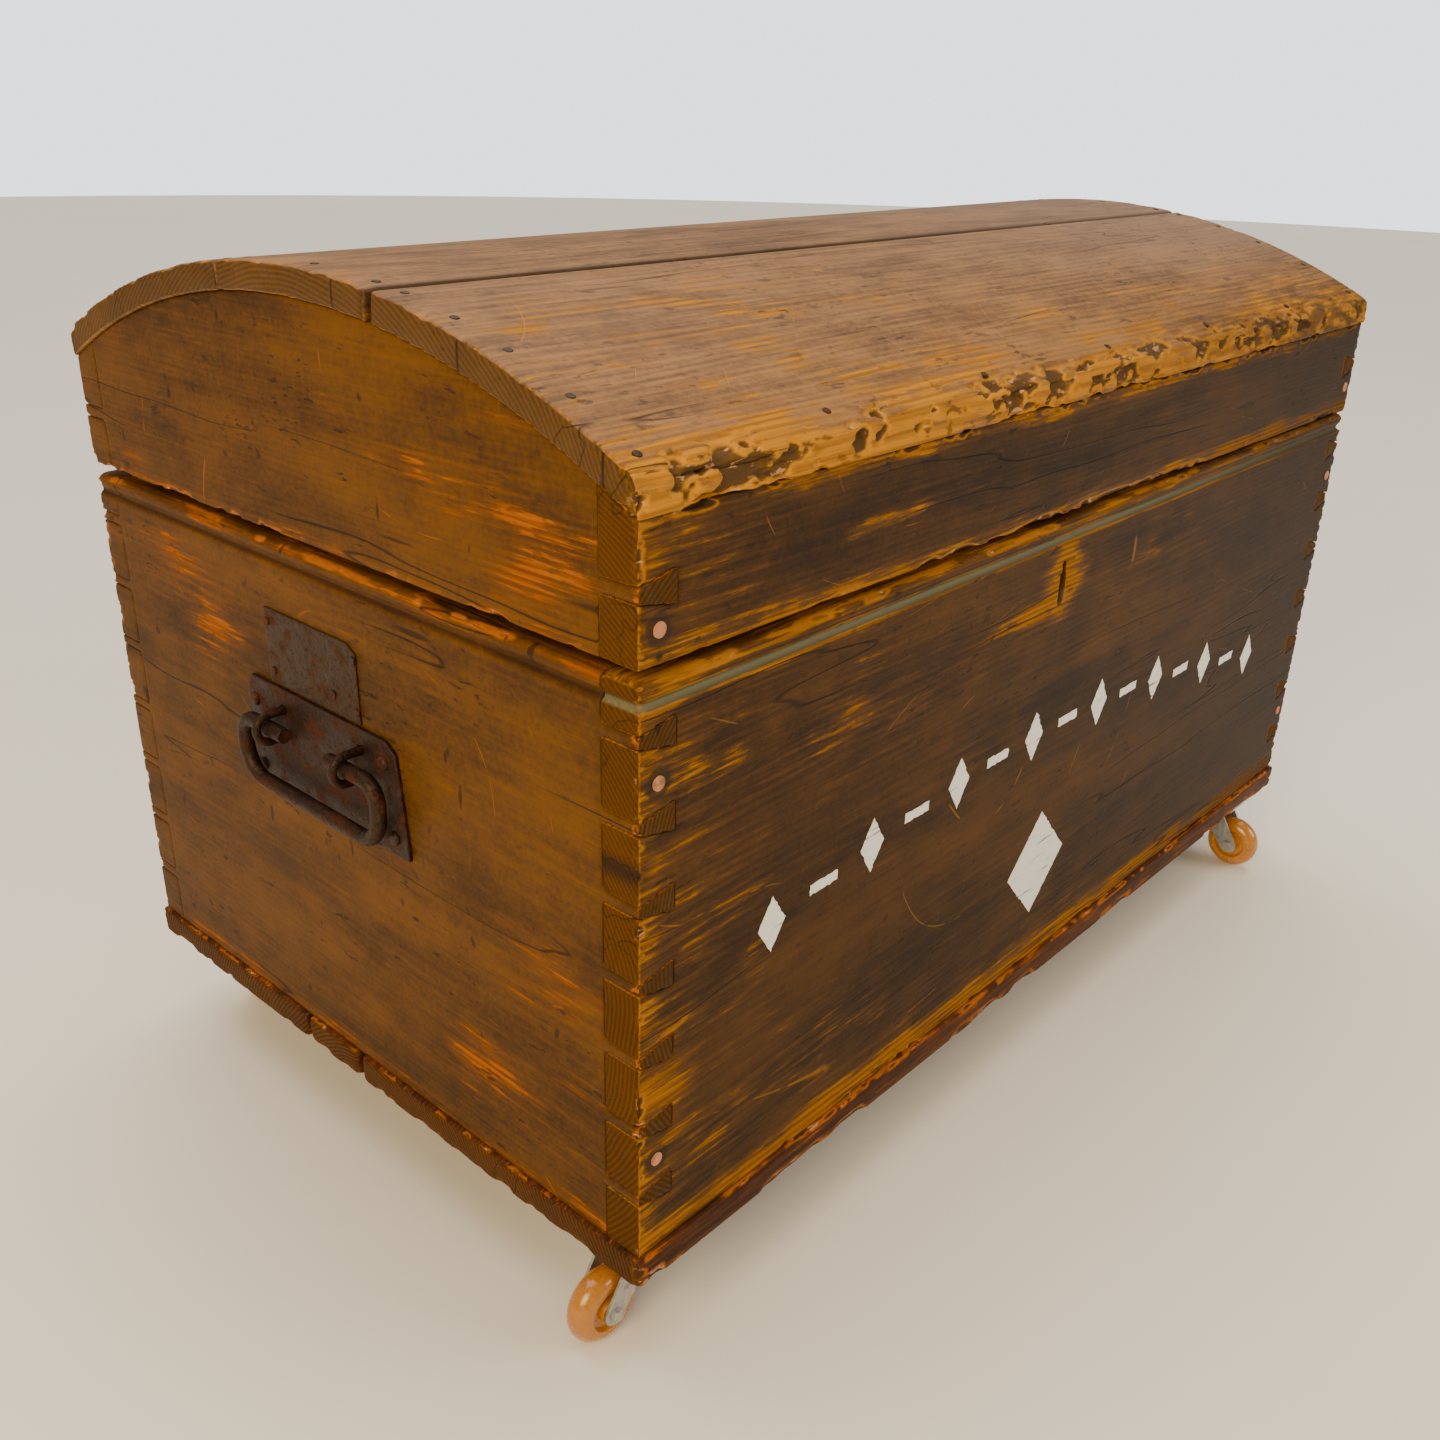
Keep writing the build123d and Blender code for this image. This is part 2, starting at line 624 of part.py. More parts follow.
with BuildPart() as lock_bolt:
    block(
        (BOLT_TIP - BOLT[0], BOLT_TIP),
        (BOLT_Y - BOLT[1] / 2, BOLT_Y + BOLT[1] / 2),
        (BOLT_Z - BOLT[2] / 2, BOLT_Z + BOLT[2] / 2),
    )
    chamfer(edges().filter_by(Axis.Y).group_by(Axis.X)[-1], length=1)
    # the notch that the key's bit works in
    block(
        (BOLT_TIP - 32, BOLT_TIP - 22),
        (BOLT_Y - BOLT[1], BOLT_Y + BOLT[1]),
        (BOLT_Z - BOLT[2], BOLT_Z - 1),
        mode=Mode.SUBTRACT,
    )
finish(lock_bolt, "lock_bolt")

CATCH_X = (LUG_X - 22, LUG_X + 22)
CATCH_Z = (WALL_BOTTOM + 372, WALL_BOTTOM + 412)
catch_screw_places = []
for x in (CATCH_X[0] + 7, CATCH_X[1] - 7):
    for z in (CATCH_Z[0] + 7, CATCH_Z[1] - 7):
        catch_screw_places.append(facing((x, INNER_FRONT + CATCH_PLATE, z), (0, 1, 0)))
catch_screws = placed(small_screw, catch_screw_places)
finish(catch_screws, "lid_catch_screws")

with BuildPart() as lid_catch:
    block(CATCH_X, (INNER_FRONT, INNER_FRONT + CATCH_PLATE), CATCH_Z)
    block(
        (LUG_X - LUG_THICK / 2, LUG_X + LUG_THICK / 2),
        (INNER_FRONT, LUG_Y[1]),
        (CATCH_Z[0], CATCH_Z[0] + 22),
    )
    block((LUG_X - LUG_THICK / 2, LUG_X + LUG_THICK / 2), LUG_Y, (BOLT_Z - 9, CATCH_Z[0]))
    block(
        (LUG_X - LUG_THICK, LUG_X + LUG_THICK),
        (BOLT_Y - BOLT[1] / 2 - 0.8, BOLT_Y + BOLT[1] / 2 + 0.8),
        (BOLT_Z - BOLT[2] / 2 - 0.8, BOLT_Z + BOLT[2] / 2 + 0.8),
        mode=Mode.SUBTRACT,
    )
    carve(catch_screws)
finish(lid_catch, "lid_catch")


# ---------------------------------------------------------------- casters
def on_seat(seat, plane):
    """A plane of the caster's own frame: the swivel axis is its Z, the wheel trails along its X."""
    return Plane(seat * plane.location)


def upright(seat, offset):
    """A plane parallel to the wheel, offset sideways from its middle: x along the trail, y up."""
    return on_seat(seat, Plane.XZ.offset(-offset))


def disc(seat, radius, z_range, mode=Mode.ADD):
    """A disc or a hole about the swivel axis."""
    with BuildSketch(on_seat(seat, Plane.XY.offset(z_range[0]))) as section:
        Circle(radius)
    extrude(section.sketch, amount=z_range[1] - z_range[0], mode=mode)


def axle_bar(seat, radius, half_length, mode=Mode.ADD):
    """A bar or a bore along the axle."""
    with BuildSketch(upright(seat, half_length)) as section:
        with Locations((TRAIL, WHEEL_R)):
            Circle(radius)
    extrude(section.sketch, amount=2 * half_length, mode=mode)


RACE_Z = (CROWN_Z[1] + 0.3, CASTER_HEIGHT - CASTER_SHEET)
KINGPIN_HEAD_Z = (54.3, CROWN_Z[0] - 0.3)
NUT = 3.2  # thickness of the axle's nuts
AXLE_HALF = FORK_INSIDE + FORK_SHEET + NUT
caster_screw_places = []
kingpins = []

for caster_name, (swivel_x, swivel_from_front, trail_angle) in CASTERS.items():
    seat = Location((swivel_x, FRONT + swivel_from_front, 0), (0, 0, trail_angle))
    square = Location((swivel_x, FRONT + swivel_from_front, CASTER_HEIGHT - CASTER_SHEET))
    own_screws = []
    for sx in (-CASTER_SCREW, CASTER_SCREW):
        for sy in (-CASTER_SCREW, CASTER_SCREW):
            own_screws.append(square * facing((sx, sy, 0), (0, 0, -1)))
    caster_screw_places += own_screws

    with BuildPart() as kingpin:
        disc(seat, KINGPIN_R, (CROWN_Z[0] - 1, CASTER_HEIGHT))
        disc(seat, KINGPIN_R + 3, KINGPIN_HEAD_Z)
    kingpins.append(kingpin)

    with BuildPart() as caster_plate:
        with BuildSketch(Plane.XY.offset(CASTER_HEIGHT - CASTER_SHEET)):
            with Locations((swivel_x, FRONT + swivel_from_front)):
                RectangleRounded(CASTER_PLATE, CASTER_PLATE, 5)
        extrude(amount=CASTER_SHEET)
        disc(seat, RACE_R, RACE_Z)
        chamfer(edges().filter_by(GeomType.CIRCLE).sort_by(Axis.Z)[0], length=1)
        carve(placed(wood_screw, own_screws), kingpin)
    finish(caster_plate, f"{caster_name}_caster_plate")

    with BuildPart() as fork:
        disc(seat, CROWN_R, CROWN_Z)
        for inner in (FORK_INSIDE, -FORK_INSIDE - FORK_SHEET):
            with BuildSketch(upright(seat, inner)):
                with BuildLine():
                    Line((-11, CROWN_Z[1]), (13, CROWN_Z[1]))
                    CenterArc((TRAIL, WHEEL_R), 8, 0, 360)
                make_hull()
            extrude(amount=-FORK_SHEET)
        disc(seat, KINGPIN_R + PIN_PLAY, (CROWN_Z[0] - 1, CROWN_Z[1] + 1), Mode.SUBTRACT)
        axle_bar(seat, AXLE_R, AXLE_HALF, Mode.SUBTRACT)
    finish(fork, f"{caster_name}_fork")

    with BuildPart() as axle:
        axle_bar(seat, AXLE_R, AXLE_HALF)
        for outer in (AXLE_HALF, -FORK_INSIDE - FORK_SHEET):
            with BuildSketch(upright(seat, outer)):
                with Locations((TRAIL, WHEEL_R)):
                    RegularPolygon(5, 6)
            extrude(amount=NUT)
    finish(axle, f"{caster_name}_axle")

    with BuildPart() as wheel:
        # half of the wheel's section: x outward from the axle, y sideways
        half = WHEEL_WIDTH / 2
        section_plane = on_seat(seat, Plane(origin=(TRAIL, 0, WHEEL_R), x_dir=(1, 0, 0), z_dir=(0, 0, 1)))
        with BuildSketch(section_plane):
            with BuildLine():
                Polyline(
                    (WHEEL_R - 7, half), (14.5, half), (13, half - 3), (8.5, half - 3), (7.5, half + 1),
                    (AXLE_R + PIN_PLAY, half + 1), (AXLE_R + PIN_PLAY, -half - 1), (7.5, -half - 1),
                    (8.5, -half + 3), (13, -half + 3), (14.5, -half), (WHEEL_R - 7, -half),
                )
                ThreePointArc((WHEEL_R - 7, -half), (WHEEL_R, 0), (WHEEL_R - 7, half))
            make_face()
        revolve(axis=Axis(section_plane.origin, section_plane.y_dir))
    finish(wheel, f"{caster_name}_wheel")

caster_screws = placed(wood_screw, caster_screw_places)
finish(caster_screws, "caster_screws")
with BuildPart() as caster_kingpins:
    for pin in kingpins:
        add(pin.part)
finish(caster_kingpins, "caster_kingpins")

# ---------------------------------------------------------------- base planks
BASE_EDGES = (
    -BASE_PROUD,
    BASE_JOINTS[0] - BASE_JOINT_GAPS[0] / 2,
    BASE_JOINTS[0] + BASE_JOINT_GAPS[0] / 2,
    BASE_JOINTS[1] - BASE_JOINT_GAPS[1] / 2,
    BASE_JOINTS[1] + BASE_JOINT_GAPS[1] / 2,
    DEPTH + BASE_PROUD,
)
for plank_name, near, far in (
    ("base_front_plank", BASE_EDGES[0], BASE_EDGES[1]),
    ("base_middle_plank", BASE_EDGES[2], BASE_EDGES[3]),
    ("base_back_plank", BASE_EDGES[4], BASE_EDGES[5]),
):
    with BuildPart() as base_plank:
        block(
            (LEFT - BASE_PROUD, RIGHT + BASE_PROUD),
            (FRONT + near, FRONT + far),
            (CASTER_HEIGHT, WALL_BOTTOM),
        )
        fillet(edges().filter_by(Axis.Z), radius=4)
        fillet(edges().group_by(Axis.Z)[0], radius=3)
        carve(base_nails, caster_screws, caster_kingpins)
    finish(base_plank, plank_name)

# ---------------------------------------------------------------- carcase walls
PIN_HEIGHTS = [FIRST_PIN + PIN_PITCH * index for index in range(PIN_COUNT)]

with BuildPart() as front_wall:
    block((LEFT, RIGHT), (FRONT, INNER_FRONT), (WALL_BOTTOM, WALL_TOP))
    front_sockets(PIN_HEIGHTS, PIN_NARROW, PIN_WIDE)
    cut_bead((LEFT, FRONT, WALL_TOP), (0, 1, 0), (1, 0, 0), LENGTH)
    cut_end_beads()
    keyhole(FRONT, BOARD)
    carve(box_corner_nails, base_nails, lock_screws)
finish(front_wall, "front_wall")

with BuildPart() as back_wall:
    block((LEFT, RIGHT), (BACK - BOARD, BACK), (WALL_BOTTOM, WALL_TOP))
    back_plane = FRONT_FACE.offset(BOARD - DEPTH)
    pin_bars(PIN_HEIGHTS, PIN_NARROW, PIN_WIDE, back_plane, Mode.SUBTRACT)
    back_right = Plane(origin=(RIGHT, BACK, WALL_BOTTOM), x_dir=(-1, 0, 0), z_dir=(0, 1, 0))
    pin_bars(PIN_HEIGHTS, PIN_NARROW, PIN_WIDE, back_right, Mode.SUBTRACT)
    cut_end_beads()
    bevel_back_edge(-1)
    hinge_recesses()
    carve(box_corner_nails, base_nails, hinge_lower_screws)
finish(back_wall, "back_wall")

with BuildPart() as left_end_wall:
    block((LEFT, LEFT + BOARD), (INNER_FRONT, BACK - BOARD), (WALL_BOTTOM, WALL_TOP))
    left_pins(PIN_HEIGHTS, PIN_NARROW, PIN_WIDE)
    cut_bead((LEFT, BACK, WALL_TOP), (1, 0, 0), (0, -1, 0), DEPTH)
    carve(left_handle_screws, left_patch_nails, left_handle_staples, box_corner_nails, base_nails)
finish(left_end_wall, "left_end_wall")
finish(mirrored(left_end_wall), "right_end_wall")

# ---------------------------------------------------------------- lid
LID_TOP = RAIL_TOP + DOME_RISE + 5

with BuildPart() as lid_front_rail:
    block((LEFT, RIGHT), (FRONT, INNER_FRONT), (WALL_TOP, WALL_BOTTOM + LID_TOP))
    front_sockets([LID_PIN], LID_PIN_NARROW, LID_PIN_WIDE)
    trim_lid_board()
    carve(lid_nails, lid_corner_nails, catch_screws)
finish(lid_front_rail, "lid_front_rail")

with BuildPart() as lid_back_rail:
    block((LEFT, RIGHT), (BACK - BOARD, BACK), (WALL_TOP, WALL_BOTTOM + LID_TOP))
    pin_bars([LID_PIN], LID_PIN_NARROW, LID_PIN_WIDE, back_plane, Mode.SUBTRACT)
    pin_bars([LID_PIN], LID_PIN_NARROW, LID_PIN_WIDE, back_right, Mode.SUBTRACT)
    trim_lid_board()
    bevel_back_edge(1)
    hinge_recesses()
    carve(lid_nails, lid_corner_nails, hinge_upper_screws)
finish(lid_back_rail, "lid_back_rail")

for panel_name, flip in (("lid_left_panel", False), ("lid_right_panel", True)):
    with BuildPart() as raw_panel:
        block((LEFT, LEFT + BOARD), (INNER_FRONT, BACK - BOARD), (WALL_TOP - 5, WALL_BOTTOM + LID_TOP))
        left_pins([LID_PIN], LID_PIN_NARROW, LID_PIN_WIDE)
    with BuildPart() as lid_panel:
        if flip:
            mirror(raw_panel.part, about=Plane.YZ)
        else:
            add(raw_panel.part)
        trim_lid_board()
        carve(lid_nails, lid_corner_nails)
    finish(lid_panel, panel_name)

with BuildPart() as lid_front_plank:
    edge_plank(FRONT, OPEN_JOINT[0], -1)
    carve(lid_nails)
finish(lid_front_plank, "lid_front_plank")

with BuildPart() as lid_middle_plank:
    dome_plank(OPEN_JOINT[1], TIGHT_JOINT[0])
    carve(lid_nails)
finish(lid_middle_plank, "lid_middle_plank")

with BuildPart() as lid_back_plank:
    edge_plank(BACK, TIGHT_JOINT[1], 1)
    carve(lid_nails)
finish(lid_back_plank, "lid_back_plank")
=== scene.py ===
import json
from math import cos, hypot, radians, sin

import bmesh
import bpy
import numpy as np
from mathutils import Matrix, Vector


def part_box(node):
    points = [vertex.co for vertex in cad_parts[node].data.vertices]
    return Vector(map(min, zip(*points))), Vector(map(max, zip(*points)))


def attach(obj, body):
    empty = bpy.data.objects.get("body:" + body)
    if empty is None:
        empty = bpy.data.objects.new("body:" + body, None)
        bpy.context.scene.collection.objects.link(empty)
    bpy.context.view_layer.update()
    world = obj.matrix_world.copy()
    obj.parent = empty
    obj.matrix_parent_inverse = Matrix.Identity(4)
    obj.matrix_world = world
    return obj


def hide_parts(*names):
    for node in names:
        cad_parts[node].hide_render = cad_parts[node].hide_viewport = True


# A worn, dome-topped wooden trunk on casters.  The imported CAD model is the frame: metres, +X to the
# right along the front, +Y to the back, +Z up.  Every wooden board and wrought iron piece is rebuilt
# here as a denser mesh, and wear moves its points inwards.  The rebuilding also rounds sharp hollows,
# such as the corners of dovetail notches, screw holes and the quirk, and leaves up to about 1.5 mm
# more material there.

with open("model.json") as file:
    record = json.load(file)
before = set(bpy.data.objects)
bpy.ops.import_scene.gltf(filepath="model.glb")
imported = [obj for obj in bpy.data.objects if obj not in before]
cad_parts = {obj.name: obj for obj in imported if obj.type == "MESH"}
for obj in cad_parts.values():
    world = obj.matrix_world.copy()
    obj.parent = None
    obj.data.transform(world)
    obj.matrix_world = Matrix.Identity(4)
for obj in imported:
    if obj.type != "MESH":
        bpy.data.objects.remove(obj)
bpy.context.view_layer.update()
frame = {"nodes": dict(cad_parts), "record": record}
nodes = frame["nodes"]
record = frame["record"]
SLOT_OF = {part["node"]: part["material_slot"] for part in record["subparts"]}
BODY_OF = {node: body for body, names in record["behaviour"]["bodies"].items() for node in names}

MM = 0.001

# ---------------------------------------------------------------- places, from the frame
LEFT, FRONT, WALL_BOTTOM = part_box("front_wall")[0]
RIGHT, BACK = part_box("front_wall")[1].x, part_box("back_wall")[1].y
WALL_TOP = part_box("front_wall")[1].z
INNER_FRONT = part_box("front_wall")[1].y
BOARD = INNER_FRONT - FRONT
MIDDLE_Y = (FRONT + BACK) / 2
BASE_LOW, BASE_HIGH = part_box("base_front_plank")
PLANK_LOW, PLANK_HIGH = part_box("lid_front_plank")
BACK_PLANK_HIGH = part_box("lid_back_plank")[1]
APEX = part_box("lid_middle_plank")[1].z
RAIL_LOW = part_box("lid_front_rail")[0].z
PLANK = 17 * MM  # thickness of the dome's planks
RISE = 68.5 * MM  # of the dome's underside above its springing
DOME_R = ((BACK - FRONT) ** 2 / 4 + RISE**2) / (2 * RISE)
DOME_Z = APEX - PLANK - DOME_R
DOME_OUT_R = DOME_R + PLANK
EDGE_TOP = DOME_Z + (DOME_OUT_R**2 - (PLANK_LOW.y - MIDDLE_Y) ** 2) ** 0.5
LID_GAP_LEFT = 6.5 * MM
LID_GAP_RIGHT = RAIL_LOW - WALL_TOP
QUIRK = WALL_TOP - 13.5 * MM  # middle of the groove below the bead


def srgb(red, green, blue):
    """A colour given in 0 to 255, as the shader's linear numbers."""
    linear = []
    for channel in (red, green, blue):
        share = channel / 255
        linear.append(share / 12.92 if share < 0.04045 else ((share + 0.055) / 1.055) ** 2.4)
    return (*linear, 1.0)


# ---------------------------------------------------------------- camera, light and floor
def add_camera():
    """The camera looks down at the front left corner."""
    near_corner = Vector((LEFT, FRONT, WALL_BOTTOM))
    eye = near_corner + Vector((-423.5, -427.4, 617.5)) * MM
    yaw, pitch, roll = radians(48.4386), radians(24.491), radians(1.5059)
    forward = Vector((cos(pitch) * sin(yaw), cos(pitch) * cos(yaw), -sin(pitch)))
    level = Vector((cos(yaw), -sin(yaw), 0))
    upright = level.cross(forward)
    right = cos(roll) * level + sin(roll) * upright
    up = -sin(roll) * level + cos(roll) * upright
    data = bpy.data.cameras.new("camera")
    data.lens = 34.73
    data.sensor_width = 36
    data.clip_start = 0.01
    camera = bpy.data.objects.new("camera", data)
    camera.matrix_world = Matrix.Translation(eye) @ Matrix((right, up, -forward)).transposed().to_4x4()
    bpy.context.scene.collection.objects.link(camera)
    bpy.context.scene.camera = camera


def add_lamp(name, place, target, size, power, colour):
    """A square soft light that faces a point."""
    data = bpy.data.lights.new(name, "AREA")
    data.size = size
    data.energy = power
    data.color = colour
    lamp = bpy.data.objects.new(name, data)
    lamp.location = place
    lamp.rotation_euler = (Vector(target) - Vector(place)).to_track_quat("-Z", "Y").to_euler()
    bpy.context.scene.collection.objects.link(lamp)


def add_soft_sun(name, toward_lamp, strength, colour):
    """Very soft, even light from a direction, so that the whole floor stays pale."""
    data = bpy.data.lights.new(name, "SUN")
    data.angle = radians(70)
    data.energy = strength
    data.color = colour
    sun = bpy.data.objects.new(name, data)
    sun.rotation_euler = Vector(toward_lamp).to_track_quat("Z", "Y").to_euler()
    bpy.context.scene.collection.objects.link(sun)


def add_studio():
    """A pale floor and backdrop, a warm lamp at the left, a paler one at the front, soft light from above.

    Only the camera sees the bright backdrop.  Everything else is lit by a weaker, warm fill.
    """
    world = bpy.data.worlds.new("studio")
    world.use_nodes = True
    tree = world.node_tree
    fill = tree.nodes["Background"]
    fill.inputs["Color"].default_value = (1.0, 0.88, 0.72, 1)
    fill.inputs["Strength"].default_value = 0.40
    backdrop = tree.nodes.new("ShaderNodeBackground")
    backdrop.inputs["Color"].default_value = (0.93, 0.95, 1.0, 1)
    backdrop.inputs["Strength"].default_value = 2.2
    seen_directly = tree.nodes.new("ShaderNodeLightPath").outputs["Is Camera Ray"]
    either = tree.nodes.new("ShaderNodeMixShader")
    for socket, source in zip(either.inputs, (seen_directly, fill.outputs[0], backdrop.outputs[0])):
        tree.links.new(source, socket)
    tree.links.new(either.outputs[0], tree.nodes["World Output"].inputs["Surface"])
    bpy.context.scene.world = world
    middle = (0, 0, 0.3)
    add_lamp("warm_left", (-2.6, -0.9, 1.7), middle, 1.6, 84, (1.0, 0.76, 0.40))
    add_lamp("pale_front_right", (1.6, -2.9, 1.9), middle, 1.8, 52, (1.0, 0.90, 0.76))
    add_soft_sun("soft_top", (0.25, 0.35, 1.0), 2.6, (1.0, 0.94, 0.87))

    mesh = bpy.data.meshes.new("floor")
    shape = bmesh.new()
    bmesh.ops.create_circle(shape, cap_ends=True, segments=96, radius=9)
    shape.to_mesh(mesh)
    shape.free()
    floor = bpy.data.objects.new("floor", mesh)
    bpy.context.scene.collection.objects.link(floor)
    material = Material("floor")
    cloud = material.noise(material.place, 1.7, detail=3)
    tone = material.mix(cloud, srgb(230, 226, 219), srgb(238, 235, 229))
    material.finish(tone, 0.55)
    mesh.materials.append(material.data)


# ---------------------------------------------------------------- material helper
class Material:
    """A material's node tree, built by short calls that take and return sockets or plain values."""

    def __init__(self, name):
        self.data = bpy.data.materials.new(name)
        self.data.use_nodes = True
        self.tree = self.data.node_tree
        self.shader = self.tree.nodes["Principled BSDF"]
        coordinates = self.add("ShaderNodeTexCoord")
        self.place = coordinates.outputs["Object"]
        self.x, self.y, self.z = self.split(self.place)
        self.facing = self.split(coordinates.outputs["Normal"])

    def add(self, kind, inputs=None, **settings):
        node = self.tree.nodes.new(kind)
        for key, value in settings.items():
            setattr(node, key, value)
        for key, value in (inputs or {}).items():
            self.feed(node.inputs[key], value)
        return node

    def feed(self, socket, value):
        if isinstance(value, bpy.types.NodeSocket):
            self.tree.links.new(value, socket)
        else:
            socket.default_value = value

    def split(self, vector):
        """A vector's three parts."""
        return self.add("ShaderNodeSeparateXYZ", {0: vector}).outputs[:]

    def join(self, x, y, z):
        return self.add("ShaderNodeCombineXYZ", {0: x, 1: y, 2: z}).outputs[0]

    def math(self, operation, first, second=0.0):
        return self.add("ShaderNodeMath", {0: first, 1: second}, operation=operation).outputs[0]

    def plus(self, *values):
        total = values[0]
        for value in values[1:]:
            total = self.math("ADD", total, value)
        return total

    def times(self, first, second):
        return self.math("MULTIPLY", first, second)

    def scaled(self, vector, factors):
        return self.add("ShaderNodeVectorMath", {0: vector, 1: factors}, operation="MULTIPLY").outputs[0]

    def noise(self, vector, scale=1.0, detail=4.0, roughness=0.55):
        inputs = {"Vector": vector, "Scale": scale, "Detail": detail, "Roughness": roughness}
        return self.add("ShaderNodeTexNoise", inputs).outputs["Fac"]

    def span(self, value, low, high, to_low=0.0, to_high=1.0):
        """value from low..high to to_low..to_high, clamped, with soft ends."""
        inputs = {"Value": value, "From Min": low, "From Max": high, "To Min": to_low, "To Max": to_high}
        return self.add("ShaderNodeMapRange", inputs, interpolation_type="SMOOTHSTEP").outputs["Result"]

    def mix(self, share, first, second):
        """The first colour, with this share of the second one in it."""
        node = self.add("ShaderNodeMix", data_type="RGBA")
        for index, value in ((0, share), (6, first), (7, second)):
            self.feed(node.inputs[index], value)
        return node.outputs[2]

    def near(self, coordinate, place, limit, strength=1.0):
        """strength where the coordinate is at the place, falling to 0 at the limit's distance."""
        distance = self.math("ABSOLUTE", self.math("SUBTRACT", coordinate, place))
        return self.span(distance, 0.0, limit, strength, 0.0)

    def spot(self, centre, radii, strength=1.0):
        """A soft patch about a point, with its reach along each axis."""
        offset = self.add("ShaderNodeVectorMath", {0: self.place, 1: centre},
                          operation="SUBTRACT").outputs[0]
        scaled = self.scaled(offset, tuple(1 / radius for radius in radii))
        length = self.add("ShaderNodeVectorMath", {0: scaled}, operation="LENGTH").outputs["Value"]
        return self.span(length, 0.0, 1.0, strength, 0.0)

    def most(self, values):
        """The largest of the values, point by point."""
        best = values[0]
        for value in values[1:]:
            best = self.math("MAXIMUM", best, value)
        return best

    def attribute(self, name):
        """A value kept on the mesh, or 0 where the mesh doesn't have it."""
        return self.add("ShaderNodeAttribute", attribute_name=name).outputs["Fac"]

    def finish(self, colour, roughness, bump=None, depth=0.5 * MM, **fixed):
        """Feed the shader.  fixed are values that are the same all over the surface."""
        self.feed(self.shader.inputs["Base Color"], colour)
        self.feed(self.shader.inputs["Roughness"], roughness)
        if bump is not None:
            normal = self.add("ShaderNodeBump", {"Height": bump, "Strength": 1.0, "Distance": depth})
            self.feed(self.shader.inputs["Normal"], normal.outputs[0])
        for name, value in fixed.items():
            self.feed(self.shader.inputs[name.replace("_", " ")], value)
        return self.data


# ---------------------------------------------------------------- wood
def inside_mask(material):
    """1 on the unvarnished surfaces inside the chest and the lid."""
    slack = 0.7 * MM
    within_x = material.math("LESS_THAN", material.math("ABSOLUTE", material.x), RIGHT - BOARD + slack)
    from_middle = material.math("ABSOLUTE", material.math("SUBTRACT", material.y, MIDDLE_Y))
    within_y = material.math("LESS_THAN", from_middle, BACK - MIDDLE_Y - BOARD + slack)
    above_base = material.math("GREATER_THAN", material.z, WALL_BOTTOM - slack)
    section = material.join(0.0, material.math("SUBTRACT", material.y, MIDDLE_Y),
                            material.math("SUBTRACT", material.z, DOME_Z))
    radius = material.add("ShaderNodeVectorMath", {0: section}, operation="LENGTH").outputs["Value"]
    under_dome = material.math("LESS_THAN", radius, DOME_R + slack)
    return material.times(material.times(within_x, within_y), material.times(above_base, under_dome))


TURN = 6.2832
RINGS_PER_METRE = 330.0
CREVICE = srgb(24, 15, 9)


